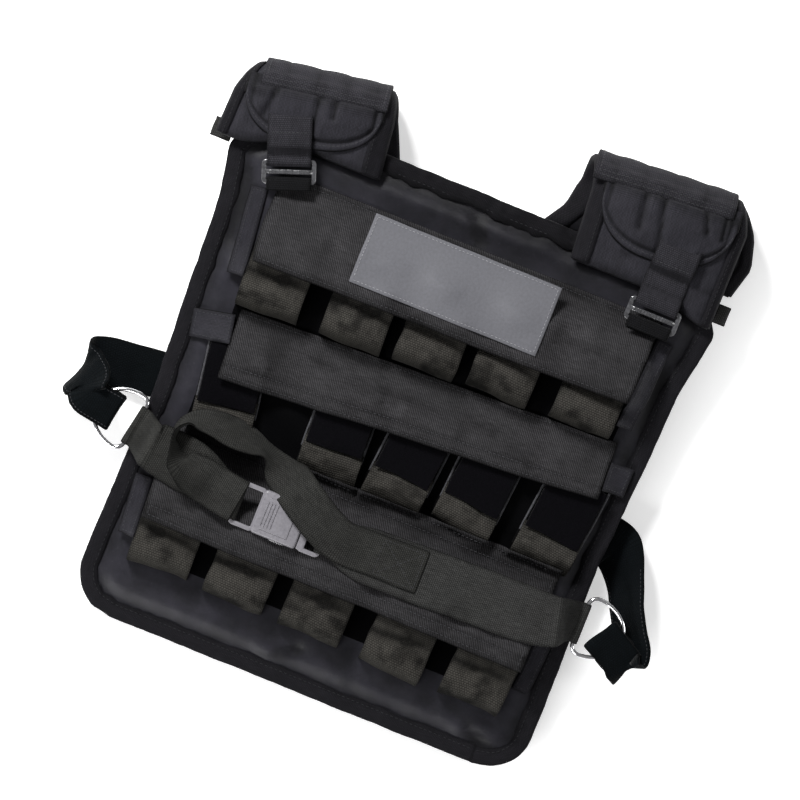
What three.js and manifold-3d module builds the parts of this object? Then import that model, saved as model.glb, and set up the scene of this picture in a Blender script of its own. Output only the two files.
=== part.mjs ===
// Weighted vest lying on its back panel with its front up. A padded front panel and a padded back
// panel are joined over the shoulders by two padded yokes. The front carries three rows of pouches
// for weight bars under woven flaps, a waist belt with a side release buckle and a loose strap loop,
// and a ring at each side that takes a strap from the back panel.
// Millimetres, +Z up, +Y from hem to shoulders, +X towards the right of the front.
import * as THREE from 'three';
import { mergeVertices } from 'three/addons/utils/BufferGeometryUtils.js';
import makeSolidKit from 'manifold-3d';

const solidKit = await makeSolidKit();
solidKit.setup();

// Panels
const panelWidth = 426;
const panelHeight = 468;
const panelThickness = 10;
const backThickness = 12;
const backInset = 3;
const seamThickness = 3;
const cornerRadius = 40;
const seamFlat = 16;
const seamRoll = 12;
const bindingWidth = 14;
const tapeThickness = 1;
const frontTilt = THREE.MathUtils.degToRad(3.5);
const clearance = 0.4;

// Webbing and flaps
const webbing = 1.4;
const flapThickness = 2.2;
const beltWidth = 50;
const strapWidth = 38;
const bandWidth = 15;
const bandThickness = 1.6;
const tabWidth = 25;
const labelWidth = 174;
const labelHeight = 63;
const labelThickness = 1;

// Pouches
const pouchWidth = 57;
const pouchLength = 88;
const pouchDepth = 24;
const emptyLength = 90;
const emptyDepth = 9;
const pouchRim = 2;
const pouchSideRound = 8;
const pouchEndRound = 18;
const pouchSeam = 4;
const gripWidth = 51;
const gripLength = 56;
const gripStart = 20;
const gripThickness = 1.2;

// Shoulder yokes
const yokeThickness = 12;
const yokeEdge = 4;
const yokeRoll = 14;
const yokeFloorGap = 0.4;
const yokeBackEnd = panelHeight - backInset + 2 * clearance + tapeThickness + clearance;
const backBendStage = 0.4;
const shoulderFlapThickness = 6;
const shoulderFlapEdge = 2;
const shoulderFlapWidth = 122;
const shoulderFlapMin = 8;
const flapRoundness = 2.4;
const ridgeBandThickness = 2;
const ridgeBandBack = -12;
const ridgeBandFront = 34;
const ridgeBandShare = 0.95;
const armTabThickness = 3;
const armTabWidth = 17;
const bindingReach = clearance + tapeThickness;

// Plastic and steel fittings
const glideWidth = 48;
const glideBar = 4.2;
const glideSlot = 4.8;
const glideThickness = 3.2;
const glideLegs = { over: 7, past: 0, under: 7 };
const buckleWidth = 40;
const buckleLength = 42;
const buckleThickness = 9;
const buckleBar = 4;
const buckleBarThickness = 3.2;
const buckleSlot = 18;
const buckleSoft = 2;
const frameSoft = 0.8;
const buckleLegs = { over: 7, past: 0, under: 7 };
const latchLength = 22;
const latchShoulder = 7;
const slotWebbing = 30;
const ringLength = 56;
const ringDepth = 43;
const ringCorner = 8;
const ringWire = 3.8;
const ringWebbing = 36;
const ringLegs = { over: 6, past: 0, under: 5 };
const ringCornerSteps = 3;
const ringBowSteps = 9;
const wireSides = 6;
const foldSteps = 6;

// Side straps
const sideWebbing = 2;
const sideWidth = 46;
const hookWidth = 34;
const hookLegs = { over: 9, past: 16, under: 7 };

// Half width of the panels from hem to neckline, as shares of the height and of half the hem width
const panelSides = [
  { up: 0, side: 1 },
  { up: 0.135, side: 1 },
  { up: 0.43, side: 0.985 },
  { up: 0.63, side: 1.01 },
  { up: 0.8, side: 1.025 },
  { up: 0.915, side: 1.07 },
  { up: 0.962, side: 1.0 },
  { up: 1, side: 0.86 },
];

// Flaps and bands, as shares of the panel's width from its middle and of its height from the hem
const chestFlapPlan = { lowLeft: [-0.4, 0.727], lowRight: [0.418, 0.739],
  highLeft: [-0.413, 0.9], highRight: [0.422, 0.904] };
const middleFlapPlan = { lowLeft: [-0.376, 0.498], lowRight: [0.436, 0.553],
  highLeft: [-0.385, 0.632], highRight: [0.434, 0.662] };
const chestFlapRows = [0, 0.18, 0.36, 0.54, 0.7, 0.83, 0.92, 1];
const lowerFlapPlan = { lowLeft: [-0.415, 0.205], lowRight: [0.42, 0.203],
  highLeft: [-0.42, 0.4], highRight: [0.425, 0.402] };
const labelPlace = [0.003, 0.826];
const bandPlan = [
  { name: 'chest_band_left', low: [-0.426, 0.69], high: [-0.446, 0.857] },
  { name: 'chest_band_right', low: [0.434, 0.694], high: [0.447, 0.872] },
  { name: 'hip_band_left', low: [-0.436, 0.16], high: [-0.446, 0.272] },
  { name: 'hip_band_right', low: [0.442, 0.16], high: [0.449, 0.262] },
];
const sideTabPlan = [
  { name: 'side_tab_left', outer: [-0.473, 0.575], inner: [-0.389, 0.591] },
  { name: 'side_tab_right', outer: [0.487, 0.599], inner: [0.439, 0.599] },
];

// Pouch rows: middle of each pouch at its low and high end, and for the lowest row how far up it starts
const topRow = [
  { low: -0.337, high: -0.343 },
  { low: -0.155, high: -0.16 },
  { low: 0.004, high: 0.004 },
  { low: 0.163, high: 0.165 },
  { low: 0.346, high: 0.35 },
];
const middleRow = [
  { low: -0.336, high: -0.366 },
  { low: -0.1, high: -0.112 },
  { low: 0.044, high: 0.063 },
  { low: 0.198, high: 0.217 },
  { low: 0.376, high: 0.398 },
];
const bottomRow = [
  { low: -0.35, high: -0.352, start: 0.12 },
  { low: -0.181, high: -0.178, start: 0.115 },
  { low: -0.011, high: -0.008, start: 0.111 },
  { low: 0.171, high: 0.178, start: 0.103 },
  { low: 0.348, high: 0.358, start: 0.105 },
];

// Shoulder yokes: ridge middle and front end in plan, turn in degrees, reach of the round flap as a
// share of its width, distances of the strap's stations over its buckle in strap widths, the small
// tab's middle and length, and edges from the middle line as shares of the panel's width on the arm
// side and on the neck side at stages from back end to front end
const yokePlan = {
  left: {
    side: -1, ridge: [-0.399, 1.103], turn: 9, frontEnd: 0.949, glide: [-0.4, 0.904], glideTurn: 20,
    flapReach: 0.36, strapSteps: [1.32, 1.16, 1, 0.76, 0.53, 0.32], tab: 0.932, tabLength: 0.046,
    edges: [
      { stage: 0, arm: 0.164, neck: 0.174 },
      { stage: 0.5, arm: 0.148, neck: 0.15 },
      { stage: 1, arm: 0.138, neck: 0.138 },
      { stage: 2, arm: 0.169, neck: 0.147 },
      { stage: 3, arm: 0.174, neck: 0.143 },
    ],
  },
  right: {
    side: 1, ridge: [0.326, 1.166], turn: 4, frontEnd: 0.949, glide: [0.401, 0.909], glideTurn: 0,
    flapReach: 0.434, strapSteps: [1.63, 1.32, 1.03, 0.76, 0.53, 0.32], tab: 0.958, tabLength: 0.03,
    edges: [
      { stage: 0, arm: 0.2, neck: 0.213 },
      { stage: 0.22, arm: 0.223, neck: 0.176 },
      { stage: 0.5, arm: 0.205, neck: 0.16 },
      { stage: 1, arm: 0.157, neck: 0.157 },
      { stage: 2, arm: 0.183, neck: 0.138 },
      { stage: 3, arm: 0.169, neck: 0.136 },
    ],
  },
};

// Belt halves and the loose strap loop in plan, with the width as a share of the webbing's
const beltLeftPlan = [
  { x: -0.455, y: 0.337, width: 0.8, lift: 5 },
  { x: -0.428, y: 0.334, width: 0.9 },
  { x: -0.36, y: 0.325, width: 0.94 },
  { x: -0.3, y: 0.31, width: 0.75 },
  { x: -0.275, y: 0.303, width: 0.62 },
];
const beltRightPlan = [
  { x: -0.03, y: 0.299, width: 0.64 },
  { x: 0.03, y: 0.297, width: 0.94 },
  { x: 0.11, y: 0.298, width: 1 },
  { x: 0.2, y: 0.3, width: 1 },
  { x: 0.29, y: 0.303, width: 1 },
  { x: 0.38, y: 0.306, width: 1 },
  { x: 0.43, y: 0.31, width: 0.94 },
  { x: 0.46, y: 0.316, width: 0.86, lift: 5 },
];
const tailLowPlan = [
  { x: -0.245, y: 0.301 },
  { x: -0.31, y: 0.312 },
  { x: -0.37, y: 0.335 },
  { x: -0.405, y: 0.335 },
];
const tailHighPlan = [
  { x: -0.405, y: 0.335, lift: 5 },
  { x: -0.378, y: 0.337, lift: 5 },
  { x: -0.352, y: 0.36, lift: 4 },
  { x: -0.322, y: 0.392, lift: 3 },
  { x: -0.28, y: 0.408, lift: 2 },
  { x: -0.235, y: 0.404, lift: 2 },
  { x: -0.188, y: 0.387, lift: 2 },
  { x: -0.129, y: 0.356, lift: 1 },
  { x: -0.065, y: 0.322, lift: 1 },
  { x: -0.01, y: 0.302, lift: 0 },
  { x: 0.05, y: 0.298, lift: 0 },
  { x: 0.157, y: 0.301, lift: 0 },
];
const bucklePlace = [-0.15, 0.299];

// Rings by the place of their straight bar and their turn in degrees. Side straps by the place of
// their middle line, the direction across them in plan, how far they tip onto an edge, and their
// height as a share of the ring's height over the ground; rows without a height lie on the back.
const ringPlan = {
  left: { side: -1, bar: [-0.502, 0.354], turn: -11 },
  right: { side: 1, bar: [0.505, 0.322], turn: 0 },
};
const sideStrapPlan = {
  left: {
    shift: 0,
    rows: [
      { x: -0.4, y: 0.457, across: 90, width: 0.86 },
      { x: -0.48, y: 0.457, across: 90, width: 0.86 },
      { x: -0.53, y: 0.452, rise: 0.34, across: 92, width: 0.9 },
      { x: -0.6, y: 0.442, rise: 0.2, across: 88, width: 0.95 },
      { x: -0.632, y: 0.43, rise: 0.22, across: 82, width: 1 },
      { x: -0.652, y: 0.418, rise: 0.45, across: 76, width: 1.02 },
      { x: -0.642, y: 0.405, rise: 0.78, across: 70, width: 1.02 },
      { x: -0.624, y: 0.393, rise: 0.98, across: 70, width: 0.95 },
    ],
  },
  right: {
    shift: -4,
    rows: [
      { x: 0.41, y: 0.485, across: 90, width: 0.98 },
      { x: 0.503, y: 0.481, across: 88, width: 0.98 },
      { x: 0.535, y: 0.462, rise: 0.46, across: 62, width: 0.98, tip: 22 },
      { x: 0.566, y: 0.416, rise: 0.55, across: 38, width: 0.95, tip: 45 },
      { x: 0.585, y: 0.372, rise: 0.62, across: 30, width: 0.92, tip: 45 },
      { x: 0.602, y: 0.338, rise: 0.82, across: 36, width: 0.88, tip: 30 },
      { x: 0.622, y: 0.315, rise: 1.05, across: 70, width: 0.78, tip: 5 },
    ],
  },
};

const finishes = {
  nylon: { color: 0x2b2a30, roughness: 0.62, metalness: 0 },
  yokeNylon: { color: 0x37363b, roughness: 0.72, metalness: 0 },
  flapWeave: { color: 0x3d3d3f, roughness: 0.9, metalness: 0 },
  pouchWeave: { color: 0x3b3c3a, roughness: 0.9, metalness: 0 },
  webbing: { color: 0x38383a, roughness: 0.85, metalness: 0 },
  binding: { color: 0x1c1b1f, roughness: 0.9, metalness: 0 },
  grip: { color: 0x121116, roughness: 0.98, metalness: 0 },
  label: { color: 0x74747a, roughness: 0.7, metalness: 0 },
  greyPlastic: { color: 0x79767b, roughness: 0.4, metalness: 0 },
  blackPlastic: { color: 0x1a1a1d, roughness: 0.35, metalness: 0 },
  steel: { color: 0xd6d6da, roughness: 0.15, metalness: 1 },
};

const vest = new THREE.Group();
const frontGroup = new THREE.Group();
vest.add(frontGroup);

function mix(low, high, share) {
  return low + (high - low) * share;
}

function tableValue(rows, key, column, at) {
  const next = Math.max(1, rows.findIndex((row) => row[key] >= at));
  const high = rows[next] ?? rows[rows.length - 1];
  const low = rows[next - 1];
  const share = THREE.MathUtils.clamp((at - low[key]) / (high[key] - low[key]), 0, 1);
  return mix(low[column], high[column], share);
}

function quarterRound(share) {
  const inside = THREE.MathUtils.clamp(share, 0, 1);
  return Math.sqrt(1 - (1 - inside) ** 2);
}

function planPoint([x, y]) {
  return new THREE.Vector2(x * panelWidth, y * panelHeight);
}

function addPiece(parent, name, geometry, finish) {
  const piece = new THREE.Mesh(geometry, new THREE.MeshStandardMaterial(finishes[finish]));
  piece.name = name;
  parent.add(piece);
  return piece;
}

// Closed body from points and triangles, turned inside out if its volume comes out negative
function closedBody(points, triangles) {
  const volume = triangles.reduce((sum, [a, b, c]) =>
    sum + points[a].dot(new THREE.Vector3().crossVectors(points[b], points[c])), 0);
  const outward = volume > 0 ? triangles : triangles.map(([a, b, c]) => [a, c, b]);
  const geometry = new THREE.BufferGeometry().setFromPoints(points);
  geometry.setIndex(outward.flat());
  geometry.computeVertexNormals();
  return geometry;
}

// Closed body between an upper and a lower grid of points that share their rim
function closedGrid(countA, countB, upperAt, lowerAt) {
  const points = [];
  const triangles = [];
  const perSheet = (countA + 1) * (countB + 1);
  const number = (i, j) => i * (countB + 1) + j;
  for (const pointAt of [upperAt, lowerAt]) {
    for (let i = 0; i <= countA; i += 1) {
      for (let j = 0; j <= countB; j += 1) points.push(pointAt(i, j));
    }
  }
  for (let i = 0; i < countA; i += 1) {
    for (let j = 0; j < countB; j += 1) {
      const [a, b, c, d] = [number(i, j), number(i + 1, j), number(i + 1, j + 1), number(i, j + 1)];
      triangles.push([a, b, c], [a, c, d]);
      triangles.push([perSheet + a, perSheet + c, perSheet + b], [perSheet + a, perSheet + d, perSheet + c]);
    }
  }
  const rim = [];
  for (let i = 0; i < countA; i += 1) rim.push(number(i, 0));
  for (let j = 0; j < countB; j += 1) rim.push(number(countA, j));
  for (let i = countA; i > 0; i -= 1) rim.push(number(i, countB));
  for (let j = countB; j > 0; j -= 1) rim.push(number(0, j));
  rim.forEach((here, k) => {
    const next = rim[(k + 1) % rim.length];
    triangles.push([here, perSheet + here, perSheet + next], [here, perSheet + next, next]);
  });
  return closedBody(points, triangles);
}

// Closed body through rings of points; an open run is capped with fans
function loft(rings, closed) {
  const count = rings[0].length;
  const points = rings.flat();
  const triangles = [];
  const runs = closed ? rings.length : rings.length - 1;
  for (let i = 0; i < runs; i += 1) {
    const here = i * count;
    const next = ((i + 1) % rings.length) * count;
    for (let j = 0; j < count; j += 1) {
      const k = (j + 1) % count;
      triangles.push([here + j, here + k, next + k], [here + j, next + k, next + j]);
    }
  }
  if (!closed) {
    const last = (rings.length - 1) * count;
    for (let j = 1; j < count - 1; j += 1) {
      triangles.push([0, j + 1, j]);
      triangles.push([last, last + j, last + j + 1]);
    }
  }
  return closedBody(points, triangles);
}

// Flat strip through stations, each with a point, a direction across it and a width
function ribbon(stations, thickness) {
  const sides = [stations[0].across.clone()];
  stations.slice(1).forEach((station, i) => {
    const side = station.across.clone();
    sides.push(side.dot(sides[i]) < 0 ? side.negate() : side);
  });
  const rings = stations.map((station, i) => {
    const before = stations[Math.max(0, i - 1)].point;
    const after = stations[Math.min(stations.length - 1, i + 1)].point;
    const along = new THREE.Vector3().subVectors(after, before).normalize();
    const normal = new THREE.Vector3().crossVectors(along, sides[i]).normalize();
    const across = new THREE.Vector3().crossVectors(normal, along).normalize();
    return [[1, 1], [-1, 1], [-1, -1], [1, -1]].map(([a, n]) => station.point.clone()
      .addScaledVector(across, (a * station.width) / 2)
      .addScaledVector(normal, (n * thickness) / 2));
  });
  return loft(rings, false);
}

// Outline of a panel: straight hem with round corners, sides from the table, straight neckline
class Outline {
  constructor(width, height, inset) {
    this.width = width;
    this.height = height;
    this.inset = inset;
    this.corner = Math.min(cornerRadius, height / 4);
  }

  halfWidth(y) {
    const up = y - this.inset;
    const side = (tableValue(panelSides, 'up', 'side', up / this.height) * this.width) / 2;
    if (up >= this.corner) return side;
    return side - this.corner + Math.sqrt(this.corner ** 2 - (this.corner - up) ** 2);
  }

  rows() {
    const rolled = seamFlat + seamRoll;
    const corner = [0, 0.05, 0.16].map((share) => share * this.corner);
    const sides = panelSides.map((row) => row.up * this.height).filter((up) => up > rolled + 8
      && up < this.height - 1);
    const rolls = [seamFlat, seamFlat + seamRoll / 2, rolled];
    const ends = rolls.map((up) => this.height - up);
    const all = [...corner, ...rolls, this.corner, ...sides, ...ends, this.height].sort((a, b) => a - b);
    const spaced = all.filter((up, i) => i === 0 || up - all[i - 1] > 1.5 || up === this.height);
    return spaced.map((up) => up + this.inset);
  }

  rim() {
    const heights = this.rows();
    const right = heights.map((y) => new THREE.Vector2(this.halfWidth(y), y));
    const left = [...heights].reverse().map((y) => new THREE.Vector2(-this.halfWidth(y), y));
    return [...right, new THREE.Vector2(0, this.inset + this.height), ...left,
      new THREE.Vector2(0, this.inset)];
  }

  edgeDistance(x, y) {
    this.edges ??= this.rim();
    let nearest = Infinity;
    this.edges.forEach((from, i) => {
      const to = this.edges[(i + 1) % this.edges.length];
      const span = new THREE.Vector2().subVectors(to, from);
      const share = THREE.MathUtils.clamp(((x - from.x) * span.x + (y - from.y) * span.y) / span.lengthSq(), 0, 1);
      nearest = Math.min(nearest, Math.hypot(x - from.x - share * span.x, y - from.y - share * span.y));
    });
    return nearest;
  }

  holds(x, y) {
    return y >= this.inset && y <= this.inset + this.height && Math.abs(x) <= this.halfWidth(y);
  }
}

// Share of the full padding at a place on a panel: none in the seam, all of it inside the roll
function padding(outline, x, y) {
  return THREE.MathUtils.smoothstep(outline.edgeDistance(x, y), seamFlat, seamFlat + seamRoll);
}

function panelGeometry(outline, thickness) {
  const heights = outline.rows();
  const edge = [0, seamFlat, seamFlat + seamRoll / 2, seamFlat + seamRoll];
  const count = 2 * edge.length + 2;
  const placeAt = (i, j) => {
    const y = heights[j];
    const half = outline.halfWidth(y);
    const inner = half - seamFlat - seamRoll;
    if (i < edge.length) return [-half + edge[i], y];
    if (i > count - edge.length) return [half - edge[count - i], y];
    return [mix(-inner, inner, (i - edge.length + 1) / (count - 2 * edge.length + 2)), y];
  };
  const pointAt = (side) => (i, j) => {
    const [x, y] = placeAt(i, j);
    const half = mix(seamThickness, thickness, padding(outline, x, y)) / 2;
    return new THREE.Vector3(x, y, thickness / 2 + side * half);
  };
  return closedGrid(count, heights.length - 1, pointAt(1), pointAt(-1));
}

// Binding tape folded round a panel's seam, a channel that runs all the way round
function bindingGeometry(outline, thickness) {
  const rim = outline.rim();
  const inner = seamThickness / 2 + clearance;
  const outer = inner + tapeThickness;
  const reach = clearance + tapeThickness;
  const section = [[reach, -outer], [reach, outer], [-bindingWidth, outer], [-bindingWidth, inner],
    [clearance, inner], [clearance, -inner], [-bindingWidth, -inner], [-bindingWidth, -outer]];
  const rings = rim.map((point, i) => {
    const before = rim[(i + rim.length - 1) % rim.length];
    const after = rim[(i + 1) % rim.length];
    const first = new THREE.Vector2(point.y - before.y, before.x - point.x).normalize();
    const second = new THREE.Vector2(after.y - point.y, point.x - after.x).normalize();
    const outward = new THREE.Vector2().addVectors(first, second).normalize();
    const stretch = 1 / Math.max(0.6, outward.dot(second));
    return section.map(([out, up]) => new THREE.Vector3(point.x + outward.x * out * stretch,
      point.y + outward.y * out * stretch, thickness / 2 + up));
  });
  return loft(rings, true);
}

const frontOutline = new Outline(panelWidth, panelHeight, 0);
const backOutline = new Outline(panelWidth - 2 * backInset, panelHeight - 2 * backInset, backInset);

// The front lies on the back just above the hem and rises from there to the shoulders
const touchLine = seamFlat + seamRoll;
frontGroup.rotation.x = frontTilt;
frontGroup.position.z = backThickness + clearance - touchLine * Math.tan(frontTilt);
frontGroup.updateMatrix();

function frontPoint(x, y, z) {
  return new THREE.Vector3(x, y, z).applyMatrix4(frontGroup.matrix);
}

addPiece(vest, 'back_panel', panelGeometry(backOutline, backThickness), 'nylon');
addPiece(vest, 'back_binding', bindingGeometry(backOutline, backThickness), 'binding');
addPiece(frontGroup, 'front_panel', panelGeometry(frontOutline, panelThickness), 'nylon');
addPiece(frontGroup, 'front_binding', bindingGeometry(frontOutline, panelThickness), 'binding');

// Heights of what other pieces lie on, or minus infinity beside it
function panelTop(x, y) {
  if (!frontOutline.holds(x, y)) return -Infinity;
  return panelThickness / 2 + mix(seamThickness, panelThickness, padding(frontOutline, x, y)) / 2;
}

function bindingTop(x, y) {
  const onTape = frontOutline.holds(x, y) && frontOutline.edgeDistance(x, y) < bindingWidth + clearance;
  return onTape ? panelThickness / 2 + seamThickness / 2 + clearance + tapeThickness : -Infinity;
}

function highest(supports, x, y, reachX, reachY) {
  let top = -Infinity;
  for (const stepX of [-1, -0.5, 0, 0.5, 1]) {
    for (const stepY of [-1, -0.5, 0, 0.5, 1]) {
      for (const support of supports) top = Math.max(top, support(x + stepX * reachX, y + stepY * reachY));
    }
  }
  return top;
}

// Four cornered patch in plan, with shares a from left to right and b from low to high
class Patch {
  constructor(lowLeft, lowRight, highLeft, highRight) {
    this.corners = [lowLeft, lowRight, highLeft, highRight];
  }

  static fromShares(plan) {
    return new Patch(...['lowLeft', 'lowRight', 'highLeft', 'highRight'].map((key) => planPoint(plan[key])));
  }

  static alongLine(low, high, width) {
    const along = new THREE.Vector2().subVectors(high, low).normalize();
    const across = new THREE.Vector2(along.y, -along.x).multiplyScalar(width / 2);
    return new Patch(low.clone().sub(across), low.clone().add(across), high.clone().sub(across),
      high.clone().add(across));
  }

  at(a, b) {
    const [lowLeft, lowRight, highLeft, highRight] = this.corners;
    return lowLeft.clone().lerp(lowRight, a).lerp(highLeft.clone().lerp(highRight, a), b);
  }

  sharesAt(x, y) {
    let a = 0.5;
    let b = 0.5;
    for (let turn = 0; turn < 6; turn += 1) {
      const left = this.at(0, b);
      const right = this.at(1, b);
      a = (x - left.x) / (right.x - left.x);
      const low = this.at(a, 0);
      const high = this.at(a, 1);
      b = (y - low.y) / (high.y - low.y);
    }
    return [a, b];
  }

  highEdgeAt(x) {
    const [, , left, right] = this.corners;
    return mix(left.y, right.y, (x - left.x) / (right.x - left.x));
  }
}

function evenShares(count) {
  return Array.from({ length: count + 1 }, (unused, i) => i / count);
}

// Body that lies over its supports: its underside clears the highest of them near each grid point
function layOver(patch, sharesA, sharesB, supports, thicknessAt) {
  const floor = sharesA.map((a, i) => sharesB.map((b, j) => {
    const place = patch.at(a, b);
    const windowA = [sharesA[i - 1] ?? a, a, sharesA[i + 1] ?? a];
    const windowB = [sharesB[j - 1] ?? b, b, sharesB[j + 1] ?? b];
    const reach = windowA.flatMap((nearA) => windowB.map((nearB) => patch.at(nearA, nearB)));
    const lowX = Math.min(...reach.map((point) => point.x));
    const highX = Math.max(...reach.map((point) => point.x));
    const lowY = Math.min(...reach.map((point) => point.y));
    const highY = Math.max(...reach.map((point) => point.y));
    return highest(supports, (lowX + highX) / 2, (lowY + highY) / 2, (highX - lowX) / 2, (highY - lowY) / 2)
      + clearance;
  }));
  const upperZ = (i, j) => floor[i][j] + thicknessAt(sharesA[i], sharesB[j]);
  const pointAt = (zAt) => (i, j) => {
    const place = patch.at(sharesA[i], sharesB[j]);
    return new THREE.Vector3(place.x, place.y, zAt(i, j));
  };
  const geometry = closedGrid(sharesA.length - 1, sharesB.length - 1, pointAt(upperZ),
    pointAt((i, j) => floor[i][j]));
  const topAt = (x, y) => {
    const [a, b] = patch.sharesAt(x, y);
    if (a < 0 || a > 1 || b < 0 || b > 1) return -Infinity;
    const i = Math.min(sharesA.length - 2, Math.max(0, sharesA.findIndex((share) => share >= a) - 1));
    const j = Math.min(sharesB.length - 2, Math.max(0, sharesB.findIndex((share) => share >= b) - 1));
    const inA = (a - sharesA[i]) / (sharesA[i + 1] - sharesA[i]);
    const inB = (b - sharesB[j]) / (sharesB[j + 1] - sharesB[j]);
    const near = upperZ(i, j);
    const far = upperZ(i + 1, j + 1);
    const corner = inA >= inB ? upperZ(i + 1, j) : upperZ(i, j + 1);
    const [first, second] = inA >= inB ? [inA, inB] : [inB, inA];
    return near + first * (corner - near) + second * (far - corner);
  };
  return { geometry, topAt, patch };
}

// Filled or flat pouch, crowned in the middle and rounded down to a thin rim
function makePouch(name, lowMiddle, highMiddle, depth) {
  const patch = Patch.alongLine(lowMiddle, highMiddle, pouchWidth);
  const length = lowMiddle.distanceTo(highMiddle);
  const sideRound = Math.min(pouchSideRound, depth / 2);
  const endRound = Math.min(pouchEndRound, depth);
  const roundSteps = depth > emptyDepth ? [0, 0.12, 0.45, 1] : [0, 0.3, 1];
  const side = roundSteps.map((share) => (share * sideRound) / pouchWidth);
  const end = roundSteps.map((share) => (share * endRound) / length);
  const sharesA = [...side, 0.5, ...side.map((share) => 1 - share).reverse()];
  const sharesB = [...end, 0.55, ...end.slice(0, -1).map((share) => 1 - share).reverse()];
  const thicknessAt = (a, b) => {
    const sides = quarterRound((Math.min(a, 1 - a) * pouchWidth) / sideRound);
    const ends = quarterRound((Math.min(b, 1 - b) * length) / endRound);
    const crown = mix(0.9, 1, Math.sin(Math.PI * a));
    return mix(pouchRim, depth * crown, sides * ends);
  };
  const pouch = layOver(patch, sharesA, sharesB, [panelTop], thicknessAt);
  addPiece(frontGroup, name, pouch.geometry, 'pouchWeave');
  return pouch;
}

function flapOver(name, plan, supports, sharesA, sharesB) {
  const flap = layOver(Patch.fromShares(plan), sharesA, sharesB, supports, () => flapThickness);
  addPiece(frontGroup, name, flap.geometry, 'flapWeave');
  return flap;
}

function tops(pieces) {
  return pieces.map((piece) => piece.topAt);
}

// Lowest row of pouches stands at its own heights; the rows above stand on the flaps' sewn edges
const lowerFlapPatch = Patch.fromShares(lowerFlapPlan);
const middleFlapPatch = Patch.fromShares(middleFlapPlan);

function pouchRow(prefix, rows, startAt, length, depth) {
  return rows.map((row, i) => {
    const lowX = row.low * panelWidth;
    const low = new THREE.Vector2(lowX, startAt(row, lowX));
    const high = new THREE.Vector2(row.high * panelWidth, low.y + length);
    return makePouch(`${prefix}_${i + 1}`, low, high, depth);
  });
}

const bottomPouches = pouchRow('pouch_bottom', bottomRow, (row) => row.start * panelHeight,
  pouchLength, pouchDepth);
const middlePouches = pouchRow('pouch_middle', middleRow, (row, x) => lowerFlapPatch.highEdgeAt(x) + pouchSeam,
  emptyLength, emptyDepth);
const topPouches = pouchRow('pouch_top', topRow, (row, x) => middleFlapPatch.highEdgeAt(x) + pouchSeam,
  pouchLength, pouchDepth);

// Looped grip facing on the upper part of each flat pouch
const grips = middlePouches.map((pouch, i) => {
  const low = pouch.patch.at(0.5, gripStart / emptyLength);
  const high = pouch.patch.at(0.5, (gripStart + gripLength) / emptyLength);
  const patch = Patch.alongLine(low, high, gripWidth);
  const grip = layOver(patch, evenShares(3), evenShares(4), [pouch.topAt], () => gripThickness);
  addPiece(frontGroup, `grip_patch_${i + 1}`, grip.geometry, 'grip');
  return grip;
});

const lowerFlap = flapOver('lower_flap', lowerFlapPlan, [panelTop, ...tops(bottomPouches)],
  evenShares(15), evenShares(6));
flapOver('middle_flap', middleFlapPlan, [panelTop, ...tops(middlePouches), ...tops(grips)],
  evenShares(14), evenShares(5));
const chestFlap = flapOver('chest_flap', chestFlapPlan, [panelTop, ...tops(topPouches)],
  evenShares(16), chestFlapRows);

const labelMiddle = planPoint(labelPlace);
const labelPatch = new Patch(
  new THREE.Vector2(labelMiddle.x - labelWidth / 2, labelMiddle.y - labelHeight / 2),
  new THREE.Vector2(labelMiddle.x + labelWidth / 2, labelMiddle.y - labelHeight / 2),
  new THREE.Vector2(labelMiddle.x - labelWidth / 2, labelMiddle.y + labelHeight / 2),
  new THREE.Vector2(labelMiddle.x + labelWidth / 2, labelMiddle.y + labelHeight / 2),
);
const label = layOver(labelPatch, evenShares(6), evenShares(4), [chestFlap.topAt], () => labelThickness);
addPiece(frontGroup, 'label_patch', label.geometry, 'label');

const bandTops = [];
for (const plan of bandPlan) {
  const patch = Patch.alongLine(planPoint(plan.low), planPoint(plan.high), bandWidth);
  const band = layOver(patch, evenShares(2), evenShares(4), [panelTop, bindingTop], () => bandThickness);
  addPiece(frontGroup, plan.name, band.geometry, 'yokeNylon');
  bandTops.push(band.topAt);
}

for (const plan of sideTabPlan) {
  const outer = planPoint(plan.outer);
  const inner = planPoint(plan.inner);
  const patch = Patch.alongLine(outer, inner, tabWidth);
  const rings = [0, 0.34, 0.67, 1].map((b) => [[0, 1], [1, 1], [1, 0], [0, 0]].map(([a, upper]) => {
    const place = patch.at(a, b);
    const floor = highest([panelTop, bindingTop, ...tops(middlePouches), ...tops(grips)], place.x, place.y,
      tabWidth / 2, tabWidth / 2) + clearance;
    return new THREE.Vector3(place.x, place.y, floor + upper * bandThickness);
  }));
  addPiece(frontGroup, plan.name, loft(rings, false), 'yokeNylon');
}

// Bars that webbing folds round: the webbing's centre line keeps this far from the bar's middle
function foldRadiusRound(barReach, thickness) {
  return barReach + clearance + thickness / 2;
}

// Strip folded round a bar: over it from the near side, down past it and back underneath.
// A hook longer than the bar's own size leaves room for a bowed bar between its two legs.
function foldRoundBar(frame, radius, legs, width) {
  const station = (out, high) => ({
    point: frame.bar.clone().addScaledVector(frame.near, out).addScaledVector(frame.up, high),
    across: frame.across,
    width,
  });
  const arc = evenShares(foldSteps).map((share) => {
    const angle = share * Math.PI;
    return station(-legs.past - radius * Math.sin(angle), radius * Math.cos(angle));
  });
  return [station(legs.over, radius), ...arc, station(legs.under, -radius)];
}

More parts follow.
